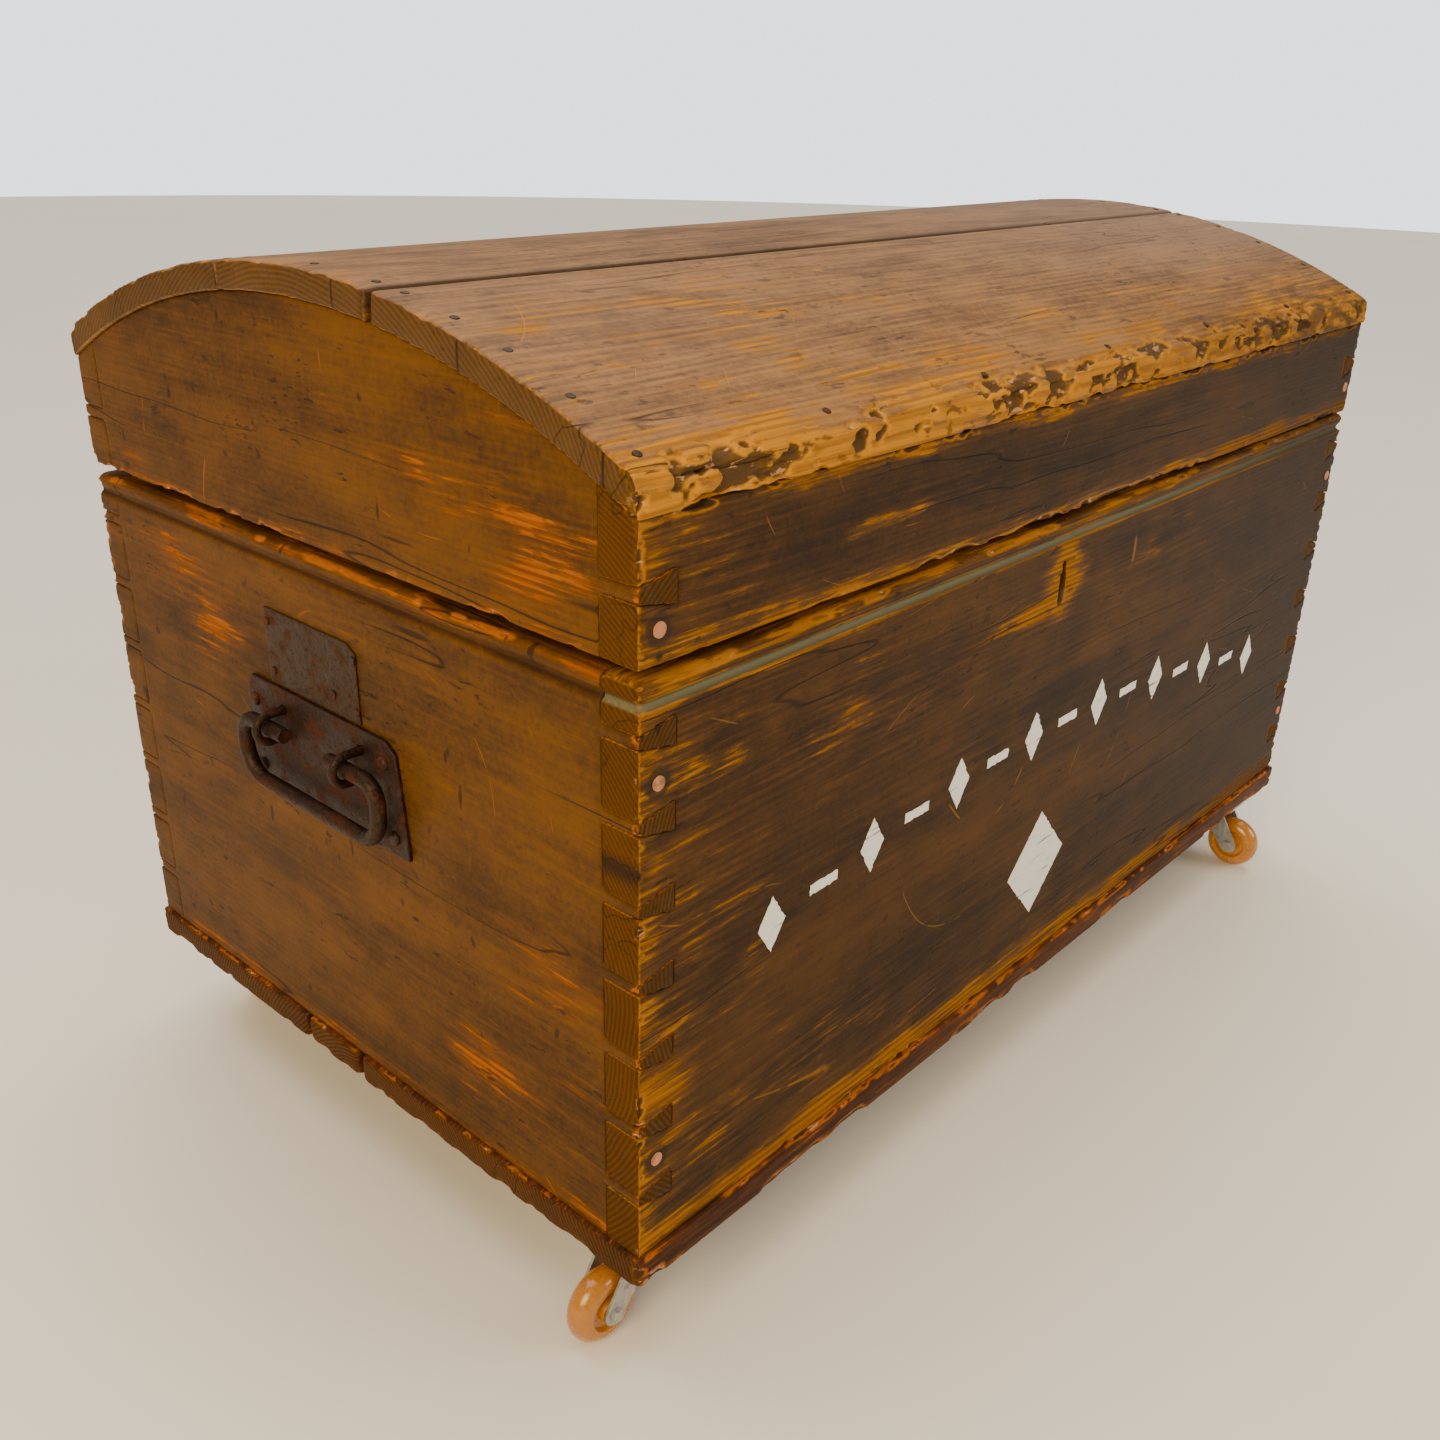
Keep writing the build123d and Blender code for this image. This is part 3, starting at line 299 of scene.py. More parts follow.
def old_wood(name, grain, pith, varnish, bare, ends, wear_and_highlight_places, dirt_and_painted_light_places,
             wear_base, roughness_base=0.48, specular=0.14, lines=1.0):
    """Old varnished pine.

    grain is the axis that the fibres follow, 0 for X and 1 for Y.  pith is where the tree's heart
    lies across that axis.  varnish is a dark and a light tone, bare a deep and a pale tone of the
    wood that shows where the varnish has gone, ends two tones of the end grain.
    wear_and_highlight_places makes the masks of the worn places and of painted highlights, and
    dirt_and_painted_light_places pairs of a mask and a colour, for dirt, painted shade and a painted sheen.
    wear_base is added to the wear everywhere.  lines is how strongly the grain shows in the varnish.
    """
    m = Material(name)
    across = [m.y if grain == 0 else m.x, m.z]
    offset = m.join(0.0, m.math("SUBTRACT", across[0], pith[0]), m.math("SUBTRACT", across[1], pith[1]))
    radius = m.add("ShaderNodeVectorMath", {0: offset}, operation="LENGTH").outputs["Value"]

    def fibres(along, cross):
        """Places scaled differently along the fibres and across them."""
        return m.scaled(m.place, (along, cross, cross) if grain == 0 else (cross, along, cross))

    drift = m.noise(fibres(1.6, 7.0), detail=2)
    ring_phase = m.plus(m.times(radius, RINGS_PER_METRE), m.times(drift, 9.0))
    rings = m.math("SINE", m.times(ring_phase, TURN))
    rings = m.span(rings, -0.7, 1.0)
    fine = m.noise(fibres(9.0, 620.0), detail=3)
    streaks = m.span(m.noise(fibres(13.0, 230.0), detail=8, roughness=0.68), 0.34, 0.66)
    clouds = m.noise(fibres(4.0, 15.0), detail=4)
    speckle = m.noise(m.place, 260.0, detail=4)
    blotches = m.noise(fibres(19.0, 30.0), detail=6, roughness=0.7)

    # bare wood: golden early wood, deeper late wood
    bare_tone = m.plus(m.times(rings, 0.22), m.times(fine, 0.6), m.times(clouds, 0.35))
    bare_colour = m.mix(m.span(bare_tone, 0.25, 0.95), bare[1], bare[0])

    # varnish: uneven, darker where it is thick, with the grain showing through
    layers = ((clouds, 0.40), (fine, 0.30 * lines), (rings, -0.07 * lines), (streaks, 0.16 * lines),
              (speckle, 0.22), (blotches, 0.32))
    balance = 0.5 - sum(weight for _, weight in layers) / 2
    depth = m.plus(*(m.times(layer, weight) for layer, weight in layers), balance)
    varnish_colour = m.mix(m.span(depth, 0.33, 0.68), varnish[0], varnish[1])

    field = m.plus(m.most(wear_and_highlight_places(m)), wear_base)
    patches = m.span(m.noise(fibres(16.0, 42.0), detail=5, roughness=0.6), 0.36, 0.64)
    ragged = m.plus(m.times(streaks, 0.55), m.times(patches, 0.45), -0.5)
    # worn also holds the painted highlights from the wear masks, which show as bare wood
    worn = m.span(m.plus(field, m.times(ragged, 0.95)), 0.46, 0.64)
    thin = m.span(m.plus(field, m.times(ragged, 0.5)), 0.12, 0.62, 0.0, 0.60)
    colour = m.mix(thin, varnish_colour, m.mix(0.6, varnish_colour, bare_colour))
    colour = m.mix(worn, colour, bare_colour)

    # nicks, grime, checks along the grain and fine scratches
    nick_field = m.noise(fibres(55.0, 230.0), detail=2)
    nick_where = m.span(m.noise(m.place, 14.0, detail=2), 0.45, 0.65)
    nicks = m.times(m.span(nick_field, 0.65, 0.70), nick_where)
    grime_where = m.span(m.noise(m.place, 7.0, detail=2), 0.42, 0.62)
    grime = m.times(m.span(m.noise(fibres(80.0, 130.0), detail=3), 0.62, 0.69), grime_where)
    check_field = m.noise(fibres(1.3, 17.0), detail=3)
    check_line = m.math("ABSOLUTE", m.math("SUBTRACT", check_field, 0.5))
    check_where = m.span(m.noise(fibres(3.0, 9.0), detail=1), 0.5, 0.62)
    checks = m.times(m.span(check_line, 0.0, 0.006, 1.0, 0.0), check_where)
    scratch_field = m.noise(m.scaled(m.place, (2.6, 2.6, 3.6)), detail=0)
    scratch_line = m.math("ABSOLUTE", m.math("SINE", m.times(scratch_field, 38.0)))
    scratch_where = m.span(m.noise(m.place, 24.0, detail=3), 0.55, 0.64)
    scratches = m.times(m.span(scratch_line, 0.0, 0.036, 1.0, 0.0), scratch_where)
    colour = m.mix(m.times(scratches, 0.55), colour, bare[1])
    colour = m.mix(m.times(grime, 0.6), colour, srgb(28, 18, 10))
    colour = m.mix(m.times(m.most([nicks, checks]), 0.75), colour, CREVICE)

    # freshly broken edges are paler, their hollows hold dirt
    chip = m.attribute("chip")
    chip_dirt = m.plus(chip, m.times(m.noise(fibres(60.0, 190.0), detail=4), 0.5), -0.25)
    chip_colour = m.mix(m.span(chip_dirt, 0.30, 0.56, 0.0, 0.92), bare[1], srgb(40, 33, 26))
    splinters = m.times(m.span(m.noise(fibres(120.0, 260.0), detail=2), 0.60, 0.68), m.span(chip, 0.2, 0.4))
    chip_colour = m.mix(m.times(splinters, 0.7), chip_colour, srgb(206, 158, 118))
    colour = m.mix(m.span(chip, 0.10, 0.34, 0.0, 0.85), colour, chip_colour)

    # end grain is darker and shows its rings as arcs
    end_grain = m.span(m.math("ABSOLUTE", m.facing[grain]), 0.7, 0.85)
    pores = m.noise(m.place, 900.0, detail=2)
    end_tone = m.plus(m.times(rings, 0.34), m.times(pores, 0.4), m.times(clouds, 0.5))
    end_colour = m.mix(m.span(end_tone, 0.25, 1.05), ends[0], ends[1])
    colour = m.mix(m.times(end_grain, m.span(chip, 0.3, 0.6, 0.92, 0.3)), colour, end_colour)
    # these pairs hold dirt, and also painted shade and a painted sheen
    for mask, dirt in dirt_and_painted_light_places(m):
        colour = m.mix(mask, colour, dirt)

    # the inside was never varnished
    inside = inside_mask(m)
    inner_tone = m.plus(m.times(rings, 0.4), m.times(fine, 0.4), m.times(clouds, 0.5))
    inner_colour = m.mix(m.span(inner_tone, 0.3, 1.1), srgb(150, 118, 84), srgb(104, 76, 50))
    colour = m.mix(inside, colour, inner_colour)

    dull = m.most([worn, inside, m.times(chip, 0.8)])
    roughness = m.plus(roughness_base, m.times(dull, 0.28), m.times(speckle, 0.16), m.times(end_grain, 0.12))
    height = m.plus(m.times(fine, 0.40 * lines), m.times(rings, 0.12 * lines), m.times(clouds, 0.7),
                    m.times(speckle, 0.15), m.times(worn, -0.25), m.times(streaks, 0.15),
                    m.times(nicks, -0.9), m.times(checks, -1.3), m.times(scratches, -0.4))
    return m.finish(colour, roughness, height, 0.55 * MM, Specular_IOR_Level=specular)


def at(x, height, depth=0.0):
    """A point given in mm from the left end, above the walls' bottom and behind the front face."""
    return (LEFT + x * MM, FRONT + depth * MM, WALL_BOTTOM + height * MM)


def reach(x, y, z):
    """How far a patch reaches along each axis, given in mm."""
    return (x * MM, y * MM, z * MM)


THROUGH = 900  # reach of a patch along an axis on which it doesn't fade


def front_wear_and_highlights(m):
    """Worn places of the front wall and the lid's front rail, and painted highlights along the bead."""
    return [
        m.near(m.x, LEFT, 46 * MM, 0.46),
        m.near(m.x, LEFT, 150 * MM, 0.30),
        m.near(m.x, LEFT, 5 * MM, 0.8),
        m.spot(at(4, 115), reach(85, THROUGH, 100), 0.60),
        m.spot(at(60, 330), reach(150, THROUGH, 30), 0.30),
        m.near(m.z, WALL_BOTTOM + 7 * MM, 22 * MM, 0.68),
        m.spot(at(380, 6), reach(430, THROUGH, 42), 0.42),
        # painted highlights: thin gold lines along the bead and along the edge below the quirk, drawn as
        # wear
        m.near(m.z, WALL_TOP - 16.5 * MM, 1.8 * MM, 0.75),
        m.near(m.z, WALL_TOP - 10.5 * MM, 2.2 * MM, 0.55),
        m.near(m.z, WALL_TOP - 4.5 * MM, 2.4 * MM, 0.62),
        m.spot(at(372, 300), reach(80, THROUGH, 20), 0.62),
        m.spot(at(410, 314), reach(52, THROUGH, 44), 0.95),
        m.spot(at(190, 285), reach(190, THROUGH, 62), 0.20),
        m.spot(at(120, 60), reach(190, THROUGH, 70), 0.24),
        m.spot(at(560, 300), reach(260, THROUGH, 40), 0.16),
        m.spot(at(200, 402), reach(75, THROUGH, 7), 0.72),
        m.near(m.z, WALL_TOP + 4 * MM, 19 * MM, 0.62),
        m.spot(at(60, 372), reach(150, THROUGH, 26), 0.40),
        m.near(m.z, PLANK_LOW.z - 2 * MM, 9 * MM, 0.42),
        m.near(m.x, RIGHT, 14 * MM, 0.42),
    ]


def front_dirt(m):
    """Dust in the quirk, a damp ring round each corner plug, stains, and the front darker towards the right.
    """
    dirt = [(m.near(m.z, QUIRK, 3.2 * MM, 0.85), srgb(104, 106, 84))]
    ragged = m.noise(m.place, 160.0, detail=3)
    plug_heights, plug_inset = (385, 304, 66), 14
    for height in plug_heights:
        for x in (plug_inset, (RIGHT - LEFT) / MM - plug_inset):
            stain = m.spot(at(x, height), reach(17, THROUGH, 17))
            mask = m.span(m.plus(stain, m.times(ragged, 0.5)), 0.62, 0.82, 0.0, 0.7)
            dirt.append((mask, srgb(38, 30, 22)))
    dirt.append((m.spot(at(14, 371), reach(5, THROUGH, 4), 0.9), srgb(18, 14, 12)))
    dirt.append((m.spot(at(1, 255), reach(14, THROUGH, 11), 0.8), srgb(34, 26, 20)))
    dirt.append((m.spot(at(408, 305), reach(9, THROUGH, 10), 0.5), srgb(120, 112, 96)))
    # the front darker towards the right
    dirt.append((m.span(m.x, LEFT + 430 * MM, RIGHT, 0.0, 0.62), srgb(28, 17, 6)))
    return dirt


def end_dents_and_quirk_shade(m):
    """Dark dents on the end boards, and painted shade in the quirk below their bead."""
    dents = m.span(m.noise(m.scaled(m.place, (60.0, 60.0, 30.0)), detail=2), 0.70, 0.74, 0.0, 0.7)
    # the quirk's darker colour is painted shade
    return [(dents, srgb(30, 17, 6)), (m.near(m.z, QUIRK, 2.8 * MM, 0.7), srgb(46, 26, 8))]


def dome_dirt_and_sheen(m):
    """Cracks in the planks' ends, dark dents, and dirt in the open joint.

    The front edge is sooty, more so towards the right.  The top has a pale grey painted sheen, stronger
    towards the right, that stands in for a reflection of cool light.
    """
    end = m.span(m.math("ABSOLUTE", m.facing[0]), 0.7, 0.85)
    dirt = []
    cracks_from_front = (20, 121, 224, 341)
    for distance in cracks_from_front:
        line = m.times(m.near(m.y, FRONT + distance * MM, 1.6 * MM), end)
        dirt.append((m.times(line, 0.9), srgb(24, 16, 9)))
    dents = m.span(m.noise(m.scaled(m.place, (38.0, 90.0, 90.0)), detail=3), 0.66, 0.72, 0.0, 0.7)
    dirt.append((dents, srgb(66, 44, 24)))
    dirt.append((m.near(m.y, PLANK_HIGH.y + 2 * MM, 7 * MM, 0.9), srgb(30, 20, 10)))
    rim = m.times(m.near(m.y, PLANK_LOW.y, 52 * MM), m.span(m.x, LEFT + 250 * MM, RIGHT, 0.0, 0.9))
    soot = m.span(m.noise(m.scaled(m.place, (40.0, 110.0, 110.0)), detail=4), 0.36, 0.60, 0.25, 1.0)
    dirt.append((m.times(rim, soot), srgb(60, 40, 18)))
    # painted sheen: a pale grey reflection painted on the top, growing towards the right
    painted_sheen = m.times(m.span(m.x, LEFT + 300 * MM, RIGHT, 0.0, 0.42),
                    m.span(m.y, FRONT + 30 * MM, FRONT + 130 * MM))
    dirt.append((painted_sheen, srgb(146, 122, 108)))
    return dirt


def no_dirt(_):
    return []


def end_wear_and_highlights(m):
    """Worn places of the end walls, the lid's end panels and the back, with a painted highlight on the bead.
    """
    return [
        m.spot(at(0, 312, 445), reach(THROUGH, 85, 38), 0.44),
        m.spot(at(0, 290, 395), reach(THROUGH, 60, 45), 0.34),
        m.spot(at(0, 395, 75), reach(THROUGH, 60, 42), 0.54),
        m.spot(at(0, 425, 90), reach(THROUGH, 90, 24), 0.36),
        m.spot(at(0, 440, 150), reach(THROUGH, 130, 30), 0.28),
        m.spot(at(0, 160, 70), reach(THROUGH, 75, 38), 0.40),
        m.spot(at(0, 70, 130), reach(THROUGH, 95, 40), 0.44),
        m.spot(at(0, 40, 420), reach(THROUGH, 80, 30), 0.22),
        # wear along the upper bead, which is also a painted highlight there
        m.near(m.z, WALL_TOP - 3 * MM, 9 * MM, 0.36),
        m.near(m.z, WALL_BOTTOM + 4 * MM, 12 * MM, 0.30),
        m.near(m.y, FRONT, 5 * MM, 0.5),
        m.near(m.z, WALL_TOP + 8 * MM, 12 * MM, 0.24),
    ]


def dome_wear(m):
    """The dome is worn most along its front edge, and a little along the back edge and the ends."""
    return [
        m.near(m.y, PLANK_LOW.y, 66 * MM, 0.58),
        m.near(m.y, PLANK_LOW.y, 20 * MM, 0.80),
        m.near(m.y, PLANK_LOW.y, 170 * MM, 0.34),
        m.near(m.y, BACK, 34 * MM, 0.40),
        m.near(m.x, LEFT, 40 * MM, 0.24),
        m.near(m.x, RIGHT, 60 * MM, 0.30),
        m.spot(at(250, 500, 60), reach(220, 60, THROUGH), 0.20),
        m.spot(at(150, 500, 90), reach(480, 190, THROUGH), 0.27),
    ]


def base_wear(m):
    """The base is rubbed along its edges."""
    return [
        m.near(m.y, FRONT, 7 * MM, 0.32),
        m.near(m.x, LEFT, 7 * MM, 0.30),
        m.near(m.x, RIGHT, 7 * MM, 0.40),
        m.near(m.y, BACK, 7 * MM, 0.34),
        m.near(m.z, BASE_LOW.z, 5 * MM, 0.22),
    ]


# a deep and a pale tone of each
GOLD = (srgb(96, 58, 4), srgb(160, 104, 14))
ORANGE = (srgb(92, 48, 2), srgb(164, 90, 6))
YELLOW = (srgb(126, 78, 6), srgb(190, 128, 14))
PIN_ENDS = (srgb(42, 27, 6), srgb(84, 58, 16))
TAIL_ENDS = (srgb(48, 26, 2), srgb(92, 56, 6))
PLANK_ENDS = (srgb(56, 35, 6), srgb(92, 62, 14))

wood = {
    "front_wood": old_wood(
        "front_wood", 0, (FRONT + 0.16, WALL_BOTTOM + 0.15), (srgb(28, 15, 1), srgb(78, 48, 5)),
        GOLD, TAIL_ENDS, front_wear_and_highlights, front_dirt, wear_base=0.02, lines=0.4),
    "end_wood": old_wood(
        "end_wood", 1, (LEFT + 0.20, WALL_BOTTOM + 0.20), (srgb(50, 29, 0), srgb(102, 64, 3)),
        ORANGE, PIN_ENDS, end_wear_and_highlights, end_dents_and_quirk_shade, wear_base=0.05, lines=0.25),
    "dome_wood": old_wood(
        "dome_wood", 0, (MIDDLE_Y, DOME_Z + DOME_R * 0.7), (srgb(76, 47, 16), srgb(150, 108, 64)),
        YELLOW, PLANK_ENDS, dome_wear, dome_dirt_and_sheen,
        wear_base=0.0, roughness_base=0.42, specular=0.20, lines=0.55),
    "base_wood": old_wood(
        "base_wood", 0, (MIDDLE_Y, 0.0), (srgb(42, 19, 3), srgb(80, 40, 8)),
        ORANGE, TAIL_ENDS, base_wear, no_dirt, wear_base=0.02, roughness_base=0.5),
}


# ---------------------------------------------------------------- metal, plastic and paint
def old_iron(name, dark, light, rust, rust_share=0.5):
    """Hand-forged iron with rust in its hollows and rubbed high spots."""
    m = Material(name)
    clouds = m.noise(m.place, 70.0, detail=5)
    grains = m.noise(m.place, 520.0, detail=5, roughness=0.7)
    pits = m.span(m.noise(m.place, 330.0, detail=3), 0.36, 0.46, 1.0, 0.0)
    rusty = m.span(m.plus(clouds, m.times(grains, 0.25)), 0.66 - 0.2 * rust_share, 0.80 - 0.12 * rust_share)
    rubbed = m.span(m.attribute("chip"), 0.2, 0.7)
    colour = m.mix(grains, dark, light)
    colour = m.mix(m.times(rusty, 0.8), colour, rust)
    colour = m.mix(m.times(rubbed, 0.6), colour, srgb(128, 112, 92))
    colour = m.mix(m.times(pits, 0.6), colour, srgb(20, 13, 9))
    roughness = m.plus(0.46, m.times(rusty, 0.3), m.times(rubbed, -0.12), m.times(grains, 0.1))
    height = m.plus(m.times(clouds, 1.0), m.times(grains, 0.35), m.times(pits, -0.6))
    return m.finish(colour, roughness, height, 0.5 * MM, Metallic=0.55)


def dull_zinc():
    """Pressed steel with a dull zinc coat: faint spangles, scuffs and specks of dirt."""
    m = Material("zinc")
    spangle = m.add("ShaderNodeTexVoronoi", {"Vector": m.place, "Scale": 240.0}).outputs["Color"]
    grains = m.noise(m.place, 700.0, detail=4)
    scuffs = m.span(m.noise(m.scaled(m.place, (300.0, 300.0, 40.0)), detail=3), 0.55, 0.7)
    dirt = m.span(m.noise(m.place, 120.0, detail=4), 0.55, 0.72)
    colour = m.mix(m.times(grains, 0.5), srgb(176, 180, 180), srgb(140, 144, 146))
    colour = m.mix(0.10, colour, spangle)
    colour = m.mix(m.times(scuffs, 0.4), colour, srgb(214, 216, 214))
    colour = m.mix(m.times(dirt, 0.55), colour, srgb(86, 78, 66))
    roughness = m.plus(0.34, m.times(dirt, 0.3), m.times(grains, 0.12))
    return m.finish(colour, roughness, m.plus(grains, m.times(scuffs, -0.5)), 0.12 * MM, Metallic=0.85)


def amber_plastic():
    """Clear amber polyurethane, dusty where it rolls."""
    m = Material("amber_wheel")
    swirl = m.noise(m.place, 60.0, detail=3)
    scuffs = m.span(m.noise(m.place, 420.0, detail=4), 0.5, 0.7)
    colour = m.mix(swirl, srgb(196, 120, 14), srgb(224, 152, 38))
    colour = m.mix(m.times(scuffs, 0.25), colour, srgb(150, 116, 70))
    roughness = m.plus(0.16, m.times(scuffs, 0.22))
    return m.finish(colour, roughness, scuffs, 0.08 * MM, Transmission_Weight=0.45, IOR=1.5,
                    Coat_Weight=0.4)


def bare_plug():
    """A pale plug over a nail, with a dark ring where the damp has crept in."""
    m = Material("pale_plug")
    grains = m.noise(m.scaled(m.place, (500.0, 500.0, 120.0)), detail=4)
    stain = m.span(m.noise(m.place, 150.0, detail=3), 0.5, 0.68)
    colour = m.mix(grains, srgb(206, 140, 100), srgb(150, 92, 58))
    colour = m.mix(m.times(stain, 0.6), colour, srgb(92, 56, 36))
    return m.finish(colour, m.plus(0.6, m.times(grains, 0.2)), grains, 0.3 * MM)


def chalk_paint():
    """Hand-brushed white paint, worn thin along the grain of the wood below it."""
    m = Material("white_paint")
    brush = m.noise(m.scaled(m.place, (30.0, 30.0, 300.0)), detail=4)
    grain_gaps = m.noise(m.scaled(m.place, (26.0, 26.0, 420.0)), detail=5, roughness=0.65)
    gaps = m.span(grain_gaps, 0.60, 0.68)
    colour = m.mix(m.times(brush, 0.6), srgb(236, 236, 232), srgb(198, 198, 196))
    colour = m.mix(m.times(gaps, 0.75), colour, srgb(96, 76, 56))
    return m.finish(colour, 0.62, m.plus(brush, m.times(gaps, -1.5)), 0.25 * MM)


finishes = dict(wood)
finishes["iron"] = old_iron("iron", srgb(34, 22, 15), srgb(66, 46, 32), srgb(90, 48, 26), rust_share=0.3)
finishes["zinc"] = dull_zinc()
finishes["amber_wheel"] = amber_plastic()
finishes["pale_plug"] = bare_plug()
handle_iron = old_iron("handle_iron", srgb(27, 13, 3), srgb(56, 31, 9), srgb(78, 33, 4), rust_share=0.3)
patch_iron = old_iron("patch_iron", srgb(40, 23, 3), srgb(66, 41, 7), srgb(72, 38, 6), rust_share=0.1)
paint = chalk_paint()


# ---------------------------------------------------------------- worn meshes
SCATTER = (73856093, 19349663, 83492791)  # spreads the lattice's corners over the table of values
TABLE_SIZE = 4096


def smooth_noise(points, cell, seed):
    """Noise from 0 to 1 at each point, blended between random values on a lattice of this cell in mm."""
    table = np.random.default_rng(seed).random(TABLE_SIZE)
    place = points / (np.asarray(cell) * MM)
    base = np.floor(place).astype(np.int64)
    share = place - base
    share = share * share * (3 - 2 * share)
    total = np.zeros(len(points))
    for corner in np.ndindex(2, 2, 2):
        x, y, z = (base + np.array(corner)).T
        value = table[(x * SCATTER[0] ^ y * SCATTER[1] ^ z * SCATTER[2]) % TABLE_SIZE]
        total += value * np.prod(np.where(corner, share, 1 - share), axis=1)
    return total


def lid_bottom(x):
    """Height of the warped lid's lower edge."""
    share = (x - LEFT) / (RIGHT - LEFT)
    return WALL_TOP + LID_GAP_LEFT + (LID_GAP_RIGHT - LID_GAP_LEFT) * share


def edge_list(points):
    """Each worn edge as (distance of every point from it, span, depth, length of a chip), in mm."""
    x, y, z = (points / MM).T
    left, right, front, back = (value / MM for value in (LEFT, RIGHT, FRONT, BACK))
    low, high = WALL_BOTTOM / MM, WALL_TOP / MM
    base_low = BASE_LOW.z / MM
    proud = BASE_HIGH.x / MM - right
    plank_front, plank_back = PLANK_LOW.y / MM, BACK_PLANK_HIGH.y / MM
    edge_top = EDGE_TOP / MM
    radius = np.hypot(y - MIDDLE_Y / MM, z - DOME_Z / MM)
    lid_low = lid_bottom(points[:, 0]) / MM
    to_end = np.minimum(abs(x - left), abs(x - right))
    to_side = np.minimum(abs(y - front), abs(y - back))
    to_base_end = np.minimum(abs(x - left + proud), abs(x - right - proud))
    to_base_side = np.minimum(abs(y - front + proud), abs(y - back - proud))
    to_plank_end = np.minimum(abs(x - PLANK_LOW.x / MM), abs(x - PLANK_HIGH.x / MM))
    upper = z > lid_low - 2
    return [
        (np.hypot(to_end, to_side), 7, np.where(upper, 1.6, 2.4), 9),
        (np.hypot(to_base_side, z - base_low), 11, 2.6, 28),
        (np.hypot(to_base_end, z - base_low), 9, 2.0, 24),
        (np.hypot(to_base_side, z - low), 5, 1.5, 16),
        (np.hypot(to_base_end, z - low), 5, 1.5, 16),
        (np.hypot(to_side, z - low), 5, 1.6, 20),
        (np.hypot(to_side, z - high), 6, 1.5, 24),
        (np.hypot(to_end, z - high), 6, 1.3, 24),
        (np.hypot(to_side, z - lid_low), 7, 2.6, 26),
        (np.hypot(to_end, z - lid_low), 6, 2.0, 26),
        (np.hypot(y - plank_front, z - edge_top + 3), 21, 7.5, 17),
        (np.hypot(y - plank_back, z - edge_top + 3), 14, 3.5, 20),
        (np.hypot(to_plank_end, radius - DOME_OUT_R / MM), 8, 1.8, 17),
    ]


def worn_depth(points, seed):
    """How much wood each point has lost, in mm: chips at the edges, and gentle rounding."""
    depth = np.zeros(len(points))
    presence = smooth_noise(points, (64, 64, 64), seed + 99) - 0.5
    for index, (distance, span, most, chip) in enumerate(edge_list(points)):
        fade = np.clip(1 - distance / span, 0, 1)
        large = smooth_noise(points, (chip, chip * 0.6, chip * 0.6), seed + index)
        small = smooth_noise(points, (chip * 0.35, chip * 0.25, chip * 0.25), seed + index + 50)
        chips = np.clip(0.62 * large + 0.38 * small + 0.34 * presence - 0.5, 0, 1) / 0.26
        depth = np.maximum(depth, most * (np.clip(chips, 0, 1) * fade**0.8 + 0.16 * fade**2))
    return depth


def mesh_arrays(mesh):
    """The mesh's points and normals, one row for each point."""
    points = np.empty(len(mesh.vertices) * 3)
    normals = np.empty(len(mesh.vertices) * 3)
    mesh.vertices.foreach_get("co", points)
    mesh.vertices.foreach_get("normal", normals)
    return points.reshape(-1, 3), normals.reshape(-1, 3)


def baked_modifiers(piece):
    """The piece with its modifiers applied."""
    bpy.context.view_layer.update()
    evaluated = piece.evaluated_get(bpy.context.evaluated_depsgraph_get())
    mesh = bpy.data.meshes.new_from_object(evaluated)
    piece.modifiers.clear()
    piece.data = mesh
    return mesh


def dense_copy(node, voxel):
    """A copy of a CAD node's mesh, rebuilt from small, even faces."""
    mesh = nodes[node].data.copy()
    shape = bmesh.new()
    shape.from_mesh(mesh)
    bmesh.ops.remove_doubles(shape, verts=shape.verts, dist=0.001 * MM)
    shape.to_mesh(mesh)
    shape.free()
    piece = bpy.data.objects.new(f"worn_{node}", mesh)
    bpy.context.scene.collection.objects.link(piece)
    remesh = piece.modifiers.new("remesh", "REMESH")
    remesh.mode = "VOXEL"
    remesh.voxel_size = voxel
    baked_modifiers(piece)
    return piece


def stand_in(piece, node, material):
    """Let the piece stand for its CAD node."""
    piece.data.materials.clear()
    piece.data.materials.append(material)
    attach(piece, BODY_OF[node])
    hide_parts(node)


def wear(piece, depth, full):
    """Move each point inwards by depth in mm, and keep depth / full as the attribute chip."""
    mesh = piece.data
    points, normals = mesh_arrays(mesh)
    mesh.vertices.foreach_set("co", (points - normals * depth[:, None] * MM).ravel())
    chip = mesh.attributes.new("chip", "FLOAT", "POINT")
    chip.data.foreach_set("value", np.clip(depth / full, 0, 1).astype(np.float32))
    mesh.update()


def add_board(node, voxel, seed, keep=1.0, full=2.4):
    """A board with worn edges.

    keep is the share of faces left after thinning the flat parts, full the depth in mm of a chip
    that shows its darkest.
    """
    piece = dense_copy(node, voxel * (1))
    points, _ = mesh_arrays(piece.data)
    wear(piece, worn_depth(points, seed), full)
    if keep < 1:
        thin = piece.modifiers.new("thin", "DECIMATE")
        thin.ratio = keep
        baked_modifiers(piece)
    piece.data.shade_smooth()
    stand_in(piece, node, wood[SLOT_OF[node]])


def add_forged(node, voxel, seed, material):
    """A forged iron piece: hammer marks and corroded edges, all inwards."""
    piece = dense_copy(node, voxel * (1))
    points, _ = mesh_arrays(piece.data)
    hammer = smooth_noise(points, (7, 7, 7), seed)
    pitting = smooth_noise(points, (1.8, 1.8, 1.8), seed + 1)
    depth = 0.30 * hammer + 0.22 * np.clip(pitting - 0.45, 0, 1)
    wear(piece, depth, 1.0)
    piece.data.shade_smooth()
    stand_in(piece, node, material)


WALLS = ("front_wall", "left_end_wall", "right_end_wall", "back_wall")
LID_BOARDS = ("lid_front_rail", "lid_back_rail", "lid_left_panel", "lid_right_panel")
DOME_PLANKS = ("lid_front_plank", "lid_middle_plank", "lid_back_plank")
BASE_PLANKS = ("base_front_plank", "base_middle_plank", "base_back_plank")

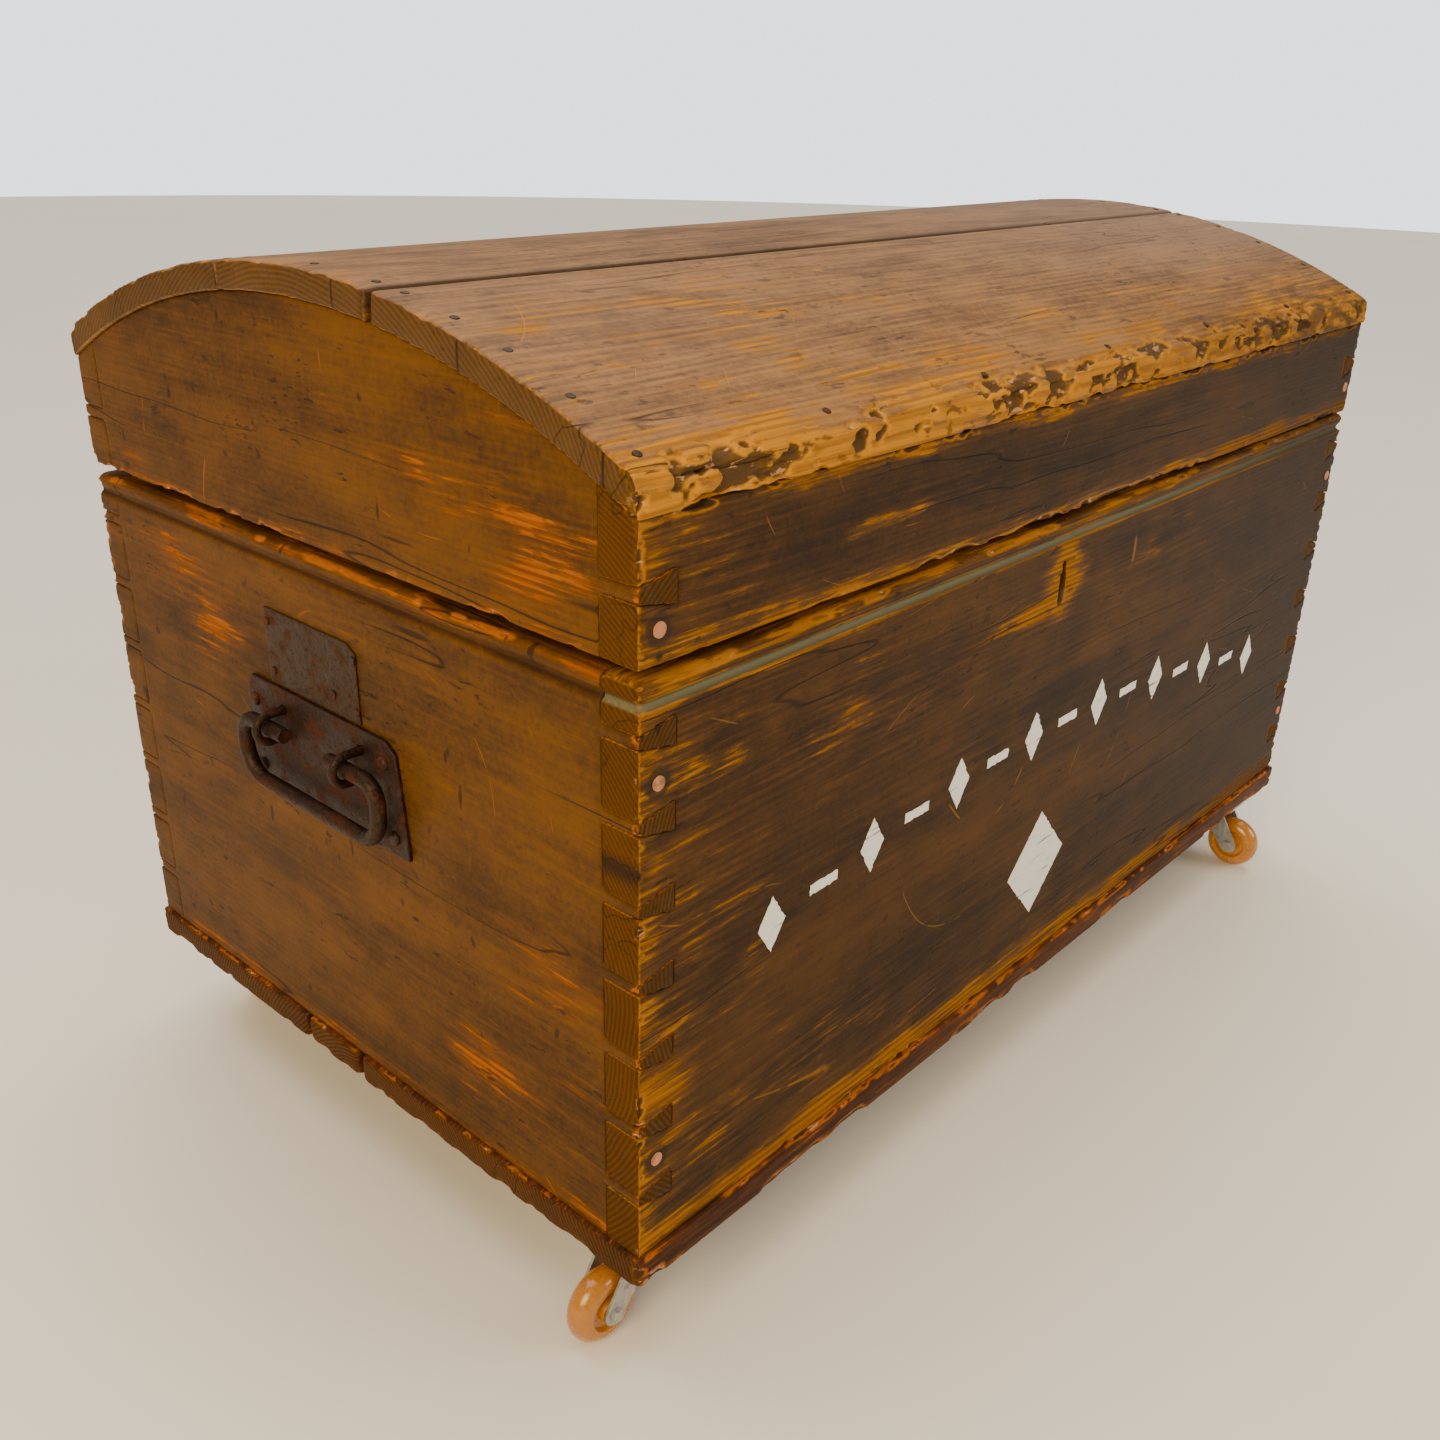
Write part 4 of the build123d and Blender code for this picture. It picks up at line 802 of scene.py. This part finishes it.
for order, board in enumerate(WALLS):
    add_board(board, 1.7 * MM, 100 * order, keep=0.35)
for order, board in enumerate(LID_BOARDS):
    add_board(board, 1.8 * MM, 500 + 100 * order, keep=0.7)
for order, board in enumerate(DOME_PLANKS):
    add_board(board, 2.2 * MM, 1000 + 100 * order, full=6.0)
for order, board in enumerate(BASE_PLANKS):
    add_board(board, 2.4 * MM, 1500 + 100 * order)
for order, side in enumerate(("left", "right")):
    add_forged(f"{side}_handle_plate", 0.9 * MM, 2000 + order, handle_iron)
    add_forged(f"{side}_patch_plate", 0.7 * MM, 2010 + order, patch_iron)
    add_forged(f"{side}_handle_staples", 0.7 * MM, 2020 + order, handle_iron)
    add_forged(f"{side}_bail", 0.8 * MM, 2030 + order, handle_iron)


# ---------------------------------------------------------------- painted ornament
def painted_shape(name, outline, seed):
    """A flat painted shape on the front wall.

    outline holds corners in mm from the left end and above the wall's bottom.
    """
    proud, sunk = 0.3 * MM, 0.8 * MM
    rng = np.random.default_rng(seed)
    corners = []
    for index, start in enumerate(outline):
        end = outline[(index + 1) % len(outline)]
        steps = max(2, int(hypot(end[0] - start[0], end[1] - start[1]) / 2.2))
        for step in range(steps):
            share = step / steps
            ragged = rng.normal(0, 0.28, 2)
            corners.append((start[0] + (end[0] - start[0]) * share + ragged[0],
                            start[1] + (end[1] - start[1]) * share + ragged[1]))
    shape = bmesh.new()
    face = shape.faces.new([shape.verts.new(at(x, height, -proud / MM)) for x, height in corners])
    back = bmesh.ops.extrude_face_region(shape, geom=[face])["geom"]
    moved = [item for item in back if isinstance(item, bmesh.types.BMVert)]
    bmesh.ops.translate(shape, verts=moved, vec=(0, proud + sunk, 0))
    bmesh.ops.recalc_face_normals(shape, faces=shape.faces)
    mesh = bpy.data.meshes.new(name)
    shape.to_mesh(mesh)
    shape.free()
    mesh.materials.append(paint)
    piece = bpy.data.objects.new(name, mesh)
    bpy.context.scene.collection.objects.link(piece)
    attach(piece, "box")


def lozenge(x, height, half_width, half_height):
    return [(x - half_width, height), (x, height - half_height),
            (x + half_width, height), (x, height + half_height)]


def dash(x, height, half_width, half_height):
    low, high = height - half_height, height + half_height
    return [(x - half_width, low), (x + half_width, low), (x + half_width, high), (x - half_width, high)]


def add_ornament():
    """A shallow arch of plain white lozenges and dashes above one large lozenge."""
    count = 15
    first, last = 108, 778
    for index in range(count):
        share = index / (count - 1)
        x = first + (last - first) * share
        height = 203 - 34 * (2 * share - 0.85) ** 2
        outline = dash(x, height, 13, 3.5) if index % 2 else lozenge(x, height, 12, 19)
        painted_shape(f"painted_mark_{index + 1}", outline, 3000 + index)
    painted_shape("painted_lozenge", lozenge(423, 88, 40, 44), 3100)


add_ornament()


# ---------------------------------------------------------------- the CAD nodes that stay
def soften(node, width):
    """A small bevel along a CAD node's sharp edges."""
    weld = node.modifiers.new("weld", "WELD")
    weld.merge_threshold = 0.001 * MM
    bevel = node.modifiers.new("bevel", "BEVEL")
    bevel.width = width
    bevel.segments = 2
    bevel.limit_method = "ANGLE"
    bevel.angle_limit = radians(40)


for name, node in nodes.items():
    if node.hide_render:
        continue
    node.data.materials.clear()
    node.data.materials.append(finishes[SLOT_OF[name]])
    if name.endswith(("_fork", "_caster_plate", "_axle", "_leaf", "lock_plate", "lock_case", "lid_catch")):
        soften(node, 0.35 * MM)

add_camera()
add_studio()


def corners(box):
    return [[float(value) for value in corner] for corner in box]
